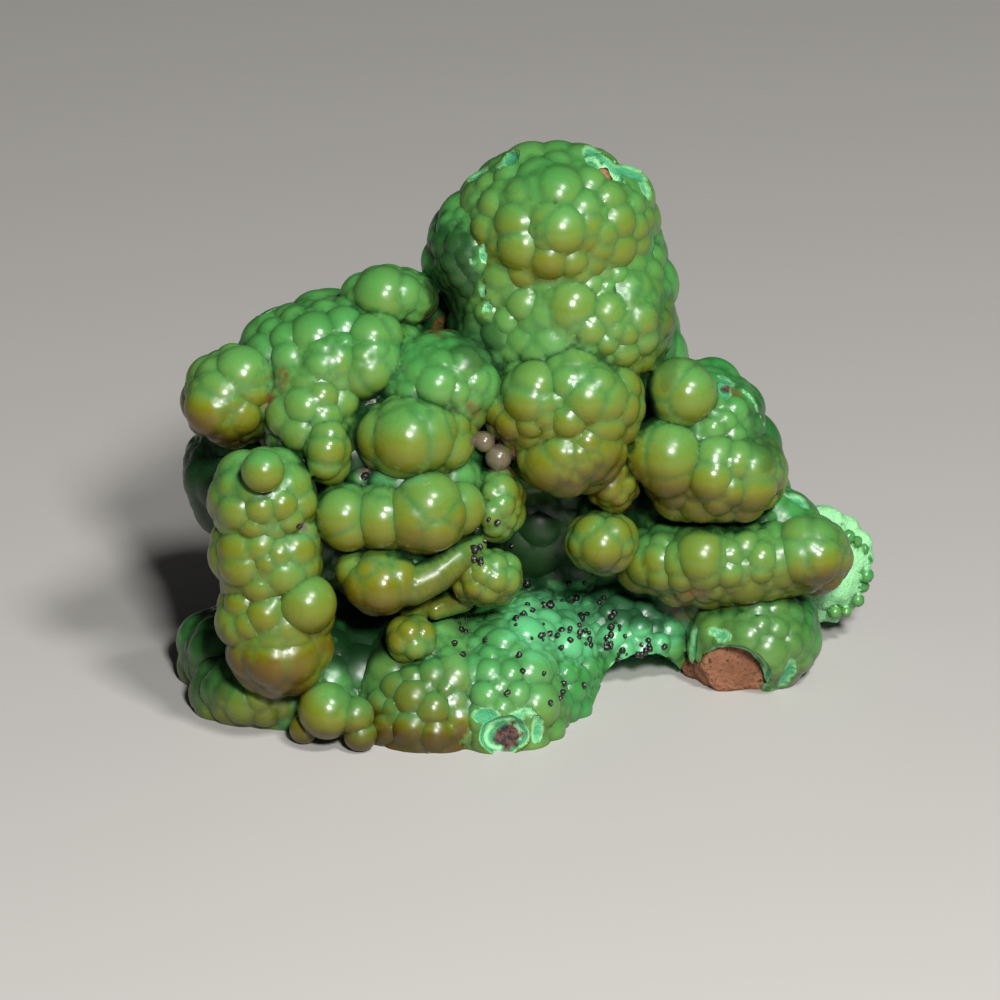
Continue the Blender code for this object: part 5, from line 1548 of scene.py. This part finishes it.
@dataclass
class MalachiteCrust:
    """The grown crust: one closed skin of every lump, broken at the back and at its rims."""

    step: float
    most_triangles: int = 196000
    crease_width: float = 0.16          # how fast a seam's sharp and soft edges fade, in mm
    edge_width: float = 0.7
    seat_reach: float = 0.6             # a grain's seat is looked for this near its place
    seat_facing: float = 0.35           # where the skin faces no further back than this
    weathering: Weathering = field(default_factory=Weathering)
    finish: MalachiteFinish = field(default_factory=MalachiteFinish)

    def build(self, body: GrownBody, rock: "MatrixRock") -> bpy.types.Object:
        """Build the crust's mesh and store its colour fields.

        Args:
            body: The crust's lobes and lumps.
            rock: The rock that the crust stays clear of.

        Returns:
            The crust as one piece.
        """
        cuts = [lambda at: back_break(at, 0.0), below_floor, rock.seam()]
        cuts += [hollow_gap(hollow) for hollow in HOLLOWS]
        self.skin = Skin(body, cuts, *CRUST_SPAN, self.step)
        self.skin.sample()
        self.skin.cuts.append(self.chips())
        self.piece = self.skin.piece("malachite_skin", self.most_triangles)
        self.store_fields()
        split_creases(self.piece)
        self.piece.data.materials.append(self.finish.make())
        return self.piece

    def chips(self) -> Gap:
        """Lay a shallow dish on the skin for each chip of the face.

        A dish is an ellipsoid whose short half-width points along the skin's outward
        direction. Where the skin is seen at a slant, the dish is longer by as much.

        Returns:
            The function that says how deep inside a dish a point is.
        """
        skin = self.skin
        solid = skin.fullness(self.weathering.narrow_reach)
        dishes = GrownBody()
        for chip in CHIPS:
            sight = charted(chip.across, chip.up, np.arange(0.0, SIGHT_DEPTH, SIGHT_STEP))
            inside = skin.read(skin.grown, sight) < 0.0
            if not inside.any():
                log.warning("a chip at %.1f, %.1f misses the skin", chip.across, chip.up)
                continue
            seat = sight[inside.argmax()]
            out = skin.slope(solid, seat[None])[0]
            level = np.cross((0.0, 0.0, 1.0), out)
            level /= max(np.linalg.norm(level), TINY)
            slant = max(SLANT_LIMIT, float(out @ face_axes()[:, 2]))
            axes = np.stack([level, np.cross(out, level), out], axis=1)
            radii = (chip.wide, chip.tall / slant, chip.deep)
            dishes.add(seat + CHIP_LIFT * out, radii, axes, 0.0)
        dishes.pack()

        def inside_dish(points: Grid) -> Grid:
            """Return the depth inside the nearest dish, positive there."""
            depth = np.full(len(points), -np.inf)
            for number in range(len(dishes.radii)):
                distance = np.linalg.norm(points - dishes.centres[number], axis=1)
                near = np.flatnonzero(distance < dishes.radii[number].max() + ROUGH_REACH)
                if len(near):
                    at = points[near]
                    gap = dishes.depth(at, number) + CHIP_ROUGHNESS * crag(at * CHIP_NOISE)
                    depth[near] = np.maximum(depth[near], gap)
            return depth

        return inside_dish

    def store_fields(self) -> None:
        """Work out what each point of the skin is: its tone, painted light and shade by which way
        it faces, deep green and painted shade in recesses and gaps, creases and breaks.
        """
        points, away = points_and_directions(self.piece)
        skin, body, rule = self.skin, self.skin.body, self.weathering
        value, _, lead, owner = skin.measure(points, skin.near(points))
        owner = np.maximum(owner, 0)
        lead = np.maximum(lead, 0.0)
        tone = body.tones[owner]
        wide, narrow = skin.fullness(rule.wide_reach), skin.fullness(rule.narrow_reach)
        around = skin.read(wide, points + rule.wide_lift * away)
        # A deep gap, read from the wide box, is painted near black as shade.
        recess, gap = smooth_step(*rule.recess, around), smooth_step(*rule.gap, around)
        nook = smooth_step(*rule.nook, skin.read(narrow, points + rule.narrow_lift * away))
        leaning = skin.slope(wide, points + rule.lean_lift * away)
        turned = rule.lobe_turn * leaning[:, 2] + rule.lump_turn * away[:, 2]
        # Painted light: bright green on faces that look up; also on faces turned sideways.
        bright_green = np.maximum(smooth_step(*rule.lit_top_green, turned),
                           smooth_step(*rule.side_green, np.abs(leaning[:, 0])))
        bright_green = bright_green * np.clip(rule.bright_green_tone - tone, 0.0, 1.0)
        edge, crease = np.exp(-lead / self.edge_width), np.exp(-lead / self.crease_width)
        # Olive by each lobe's tone, with painted light and shade: it fades where the skin looks
        # up and grows where it looks down.
        warm = tone * (1.0 - smooth_step(*rule.warmth, turned))
        warm = warm * (1.0 - rule.recess_cools * recess)
        warm = warm * (1.0 - rule.seam_cools * edge * smooth_step(*rule.cool, turned))
        warm = warm * (1.0 - rule.bright_green_cools * bright_green)
        # Deep green in recesses and nooks, partly painted shade.
        deep_green_and_shade = np.clip(rule.recess_green_and_shade * recess + rule.nook_green_and_shade * nook, 0.0, 1.0)
        # Creases are dark seam lines, deepened in nooks and given a soft edge along each seam as
        # painted shade.
        crease = crease * (rule.open_crease + (1.0 - rule.open_crease) * nook)
        broken = np.maximum(smooth_step(*rule.broken, -value), body.roughness[owner] > 0.0)
        # Painted shade: deep gaps and faces that look down go toward near black.
        painted_shade = np.maximum(gap, rule.under_painted_shade * smooth_step(*rule.under, -turned))
        # The patches of painted shade are read with the stains.
        stain = {name: patched(points, patches, ragged) for name, patches, ragged in STAINS_AND_PAINTED_SHADE}
        fields = {
            WARM: warm, BRIGHT_GREEN: rule.bright_green_share * bright_green, DEEP_GREEN_AND_SHADE: deep_green_and_shade,
            CREASE: np.maximum(crease, rule.seam_painted_shade * edge),
            BREAK: broken, DEPTH: np.maximum(-value, 0.0),
            RUST: stain[RUST] * (rule.open_rust + (1.0 - rule.open_rust) * edge),
            GREY: stain[GREY], TEAL: stain[TEAL], CORE: stain[CORE] * broken,
            PAINTED_SHADE: np.maximum(painted_shade, stain[PAINTED_SHADE]),
            CHANCE: hashed(np.outer(owner, CHANCE_STEPS), CHANCE_SEED)}
        for name, values in fields.items():
            set_field(self.piece, name, values)

    def seat(self, across: Grid, up: Grid) -> tuple[Grid, Grid, list[int]]:
        """Find the skin's front under charted places.

        Args:
            across: Places on the chart.
            up: The same.

        Returns:
            The points of the skin nearest to the front there, its directions, and which of
            the places have skin under them.
        """
        points, away = points_and_directions(self.piece)
        skin_across, skin_up = chart_of(points)
        found, kept = [], []
        for i, place in enumerate(zip(across, up)):
            near = np.hypot(skin_across - place[0], skin_up - place[1]) < self.seat_reach
            near &= away[:, 1] < self.seat_facing
            number = np.flatnonzero(near)
            if len(number):
                found.append(number[points[number, 1].argmin()])
                kept.append(i)
        return points[found], away[found], kept


@dataclass
class MatrixRock:
    """The ironstone behind the crust: overlapping rough masses, broken off behind."""

    step: float = 0.8                   # grid spacing, in millimetres
    most_triangles: int = 60000
    hump: float = 1.5                   # how far noise moves its surface
    finish: IronstoneFinish = field(default_factory=IronstoneFinish)

    def masses(self, grow: float) -> GrownBody:
        """Return the rock's ellipsoids, with a rough surface, made bigger by so much."""
        body = GrownBody()
        for mass in ROCK_MASSES:
            radii = np.array(mass.radii) + grow
            body.add(np.array(mass.centre) + ORIGIN_SHIFT, radii, np.eye(3), 0.0, self.hump)
        body.pack()
        return body

    def seam(self) -> Gap:
        """Return the function that says how far inside the rock's seam a point is."""
        body = self.masses(ROCK_GAP)

        def inside(points: Grid) -> Grid:
            """Return the depth inside the rock, positive there."""
            return np.max([body.depth(points, i) for i in range(len(body.radii))], axis=0)

        return inside

    def bared_face(self, points: Grid) -> Grid:
        """Return how far points are in front of the rock's flat face in the block's window."""
        local = points - ORIGIN_SHIFT
        right, back, high = local.T
        gap = FACE_BACK + FACE_TURN * (right - FACE_MIDDLE) - FACE_RAKE * high - back
        gap = gap + FACE_ROUGHNESS * crag(points)
        low_in_front = (high < FACE_TOP) & (back < BACK_BREAK - FACE_CLEAR)
        return np.where(low_in_front, gap, -np.inf)

    def build(self) -> bpy.types.Object:
        """Build the rock's mesh and return it as one piece."""
        cuts = [lambda at: back_break(at, ROCK_STANDS_OUT), below_floor, self.bared_face]
        skin = Skin(self.masses(0.0), cuts, *ROCK_SPAN, self.step)
        skin.sample()
        piece = skin.piece("ironstone_matrix", self.most_triangles)
        piece.data.materials.append(self.finish.make())
        return piece


@dataclass
class DarkGrains:
    """Loose-looking grains on the crust, each a dented ball on a grid of two angles."""

    rings: int = 6
    sides: int = 8
    seed: int = 23
    raised: float = 0.35                # a grain's middle is this far off the skin, in radii
    dent: float = 0.28                  # how far noise moves its surface, in radii
    dent_cells: float = 1.3             # noise cells to a radius
    dent_seed: int = 41
    dent_shift: float = 17.0            # each grain takes its noise this much further on
    finish: GrainFinish = field(default_factory=GrainFinish)

    def scattered(self) -> Grid:
        """Return every grain's (across, up, radius): the charted ones, then the fine ones.

        Each field's grains are spread over its ellipse, at the square root of a random share
        of the way out from its middle.
        """
        chance = np.random.default_rng(self.seed)
        every = [np.array(GRAINS)]
        for patch, count in GRAIN_FIELDS:
            turn = chance.uniform(0.0, 2.0 * math.pi, count)
            out = np.sqrt(chance.uniform(0.0, 1.0, count))
            every.append(np.stack([patch.across + patch.wide * out * np.cos(turn),
                                   patch.up + patch.tall * out * np.sin(turn),
                                   chance.uniform(*FINE_GRAIN, count)], axis=1))
        return np.concatenate(every)

    def ball(self) -> tuple[Grid, Grid]:
        """Return a unit ball's points and triangles.

        The point at (turn, rise) is the unit vector of the two angles. The poles are single
        points.
        """
        turn = np.linspace(0.0, 2.0 * math.pi, self.sides, endpoint=False)
        rise = np.linspace(-math.pi / 2.0, math.pi / 2.0, self.rings + 2)[1:-1]
        rise, turn = np.meshgrid(rise, turn, indexing="ij")
        ball = np.stack([np.cos(rise) * np.cos(turn), np.cos(rise) * np.sin(turn), np.sin(rise)],
                        axis=-1).reshape(-1, 3)
        ball = np.concatenate([ball, ((0.0, 0.0, -1.0), (0.0, 0.0, 1.0))])
        number = np.arange(self.rings * self.sides).reshape(self.rings, self.sides)
        beside = np.roll(number, -1, axis=1)
        walls = np.stack([number[:-1], beside[:-1], beside[1:], number[1:]], axis=-1)
        walls = walls.reshape(-1, 4)
        south, north = (np.full(self.sides, len(ball) - i) for i in (2, 1))
        return ball, np.concatenate([walls[:, (0, 1, 2)], walls[:, (0, 2, 3)],
                                     np.stack([beside[0], number[0], south], axis=1),
                                     np.stack([number[-1], beside[-1], north], axis=1)])

    def build(self, crust: MalachiteCrust) -> bpy.types.Object:
        """Build every grain into one piece.

        Args:
            crust: The crust that the grains sit on.

        Returns:
            The grains as one piece.
        """
        table = self.scattered()
        seats, away, kept = crust.seat(table[:, 0], table[:, 1])
        ball, faces = self.ball()
        places, every = [], []
        for i, (seat, out, radius) in enumerate(zip(seats, away, table[kept, 2])):
            dents = soft_noise(ball * self.dent_cells + self.dent_shift * i, 1.0, self.dent_seed)
            reach = radius * (1.0 + self.dent * dents)
            places.append(seat + self.raised * radius * out + ball * reach[:, None])
            every.append(faces + i * len(ball))
        piece = mesh_from("dark_grains", np.concatenate(places), np.concatenate(every))
        piece.data.materials.append(self.finish.make())
        return piece


@dataclass(frozen=True)
class Lamp:
    """A square soft light: its direction in degrees, distance and width in metres, and watts."""

    name: str
    azimuth: float
    elevation: float
    distance: float
    width: float
    watts: float


@dataclass
class Studio:
    """The pale floor, the soft lights and the long-lens camera."""

    middle: Triple = (-3.571, 37.143, 25.0)     # what all of them face: across, up, behind
    lamps: tuple[Lamp, ...] = (
        Lamp("key", 10.0, 33.0, distance=1.0, width=0.12, watts=12.6),
        Lamp("second", 32.0, 52.0, distance=1.0, width=0.15, watts=7.2),
        Lamp("overhead", 30.0, 72.0, distance=1.1, width=0.7, watts=0.3))
    sky: Colour = (0.9, 0.94, 1.0, 1.0)
    sky_strength: float = 0.018
    distance: float = 1.2               # from the camera to the middle, in metres
    frame_width: float = 0.142857       # what the picture takes in there
    sensor: float = 36.0
    clip_end: float = 20.0
    floor_reach: float = 3000.0         # half the floor's width, in millimetres
    floor_colour: Colour = srgb(178, 175, 170)
    floor_roughness: float = 0.55

    def build(self) -> bpy.types.Object:
        """Build the floor, lights and camera, and return the floor."""
        self.aim = Vector(charted(*self.middle) * MM)
        for lamp in self.lamps:
            light = bpy.data.lights.new(lamp.name, "AREA")
            light.size = lamp.width
            light.energy = lamp.watts
            self.hang(light, lamp.azimuth, lamp.elevation, lamp.distance)
        world = bpy.data.worlds.new("studio")
        world.use_nodes = True
        sky = world.node_tree.nodes["Background"].inputs
        sky["Color"].default_value = self.sky
        sky["Strength"].default_value = self.sky_strength
        bpy.context.scene.world = world
        bpy.context.scene.view_settings.view_transform = "Standard"
        self.camera()
        return self.floor()

    def hang(self, thing: bpy.types.ID, azimuth: float, elevation: float, distance: float
             ) -> bpy.types.Object:
        """Hang a light or a camera so that it faces the specimen.

        Args:
            thing: The light's or the camera's data.
            azimuth: Degrees round to the right from straight in front.
            elevation: Degrees above level.
            distance: Metres from the specimen.

        Returns:
            Its object.
        """
        turn, rise = math.radians(azimuth), math.radians(elevation)
        step = Vector((math.sin(turn) * math.cos(rise), -math.cos(turn) * math.cos(rise),
                       math.sin(rise)))
        item = bpy.data.objects.new(thing.name, thing)
        item.location = self.aim + step * distance
        item.rotation_euler = (self.aim - item.location).to_track_quat("-Z", "Y").to_euler()
        bpy.context.scene.collection.objects.link(item)
        return item

    def camera(self) -> None:
        """Set a long lens FACE_TILT above level, squarely in front."""
        lens = bpy.data.cameras.new("camera")
        lens.sensor_width = self.sensor
        lens.lens = self.sensor * self.distance / self.frame_width
        lens.clip_end = self.clip_end
        bpy.context.scene.camera = self.hang(lens, 0.0, math.degrees(FACE_TILT), self.distance)

    def floor(self) -> bpy.types.Object:
        """Lay the floor: a flat square grid of points at the specimen's foot."""
        number = np.arange(9).reshape(3, 3)
        side = np.linspace(-self.floor_reach, self.floor_reach, len(number))
        across, back = np.meshgrid(side, side, indexing="ij")
        points = np.stack([across, back, np.zeros_like(across)], axis=-1).reshape(-1, 3)
        faces = np.stack([number[:-1, :-1], number[1:, :-1], number[1:, 1:], number[:-1, 1:]],
                         axis=-1).reshape(-1, 4)
        piece = mesh_from("floor", points, faces)
        finish = Recipe("floor_finish").finish(self.floor_colour, self.floor_roughness)
        piece.data.materials.append(finish)
        return piece


def main() -> None:
    """Build each piece in order, put it on the frame and report it."""
    logging.basicConfig(level=logging.INFO, format="%(name)s: %(message)s")
    rock = MatrixRock()
    rock_piece = rock.build()
    crust = MalachiteCrust(step=FINE_STEP)
    crust_piece = crust.build(grow_crust(), rock)
    grains_piece = DarkGrains().build(crust)
    placed = ((crust_piece, "malachite", "malachite_crust"),
              (rock_piece, "ironstone", "matrix_rock"), (grains_piece, "ironstone", None))
    for piece, slot, node in placed:
        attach(piece, BODY)
        if node:
            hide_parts(node)
        piece.data.calc_loop_triangles()
        log.info("%s: %d triangles", piece.name, len(piece.data.loop_triangles))
    Studio().build()


if __name__ == "__main__":
    main()
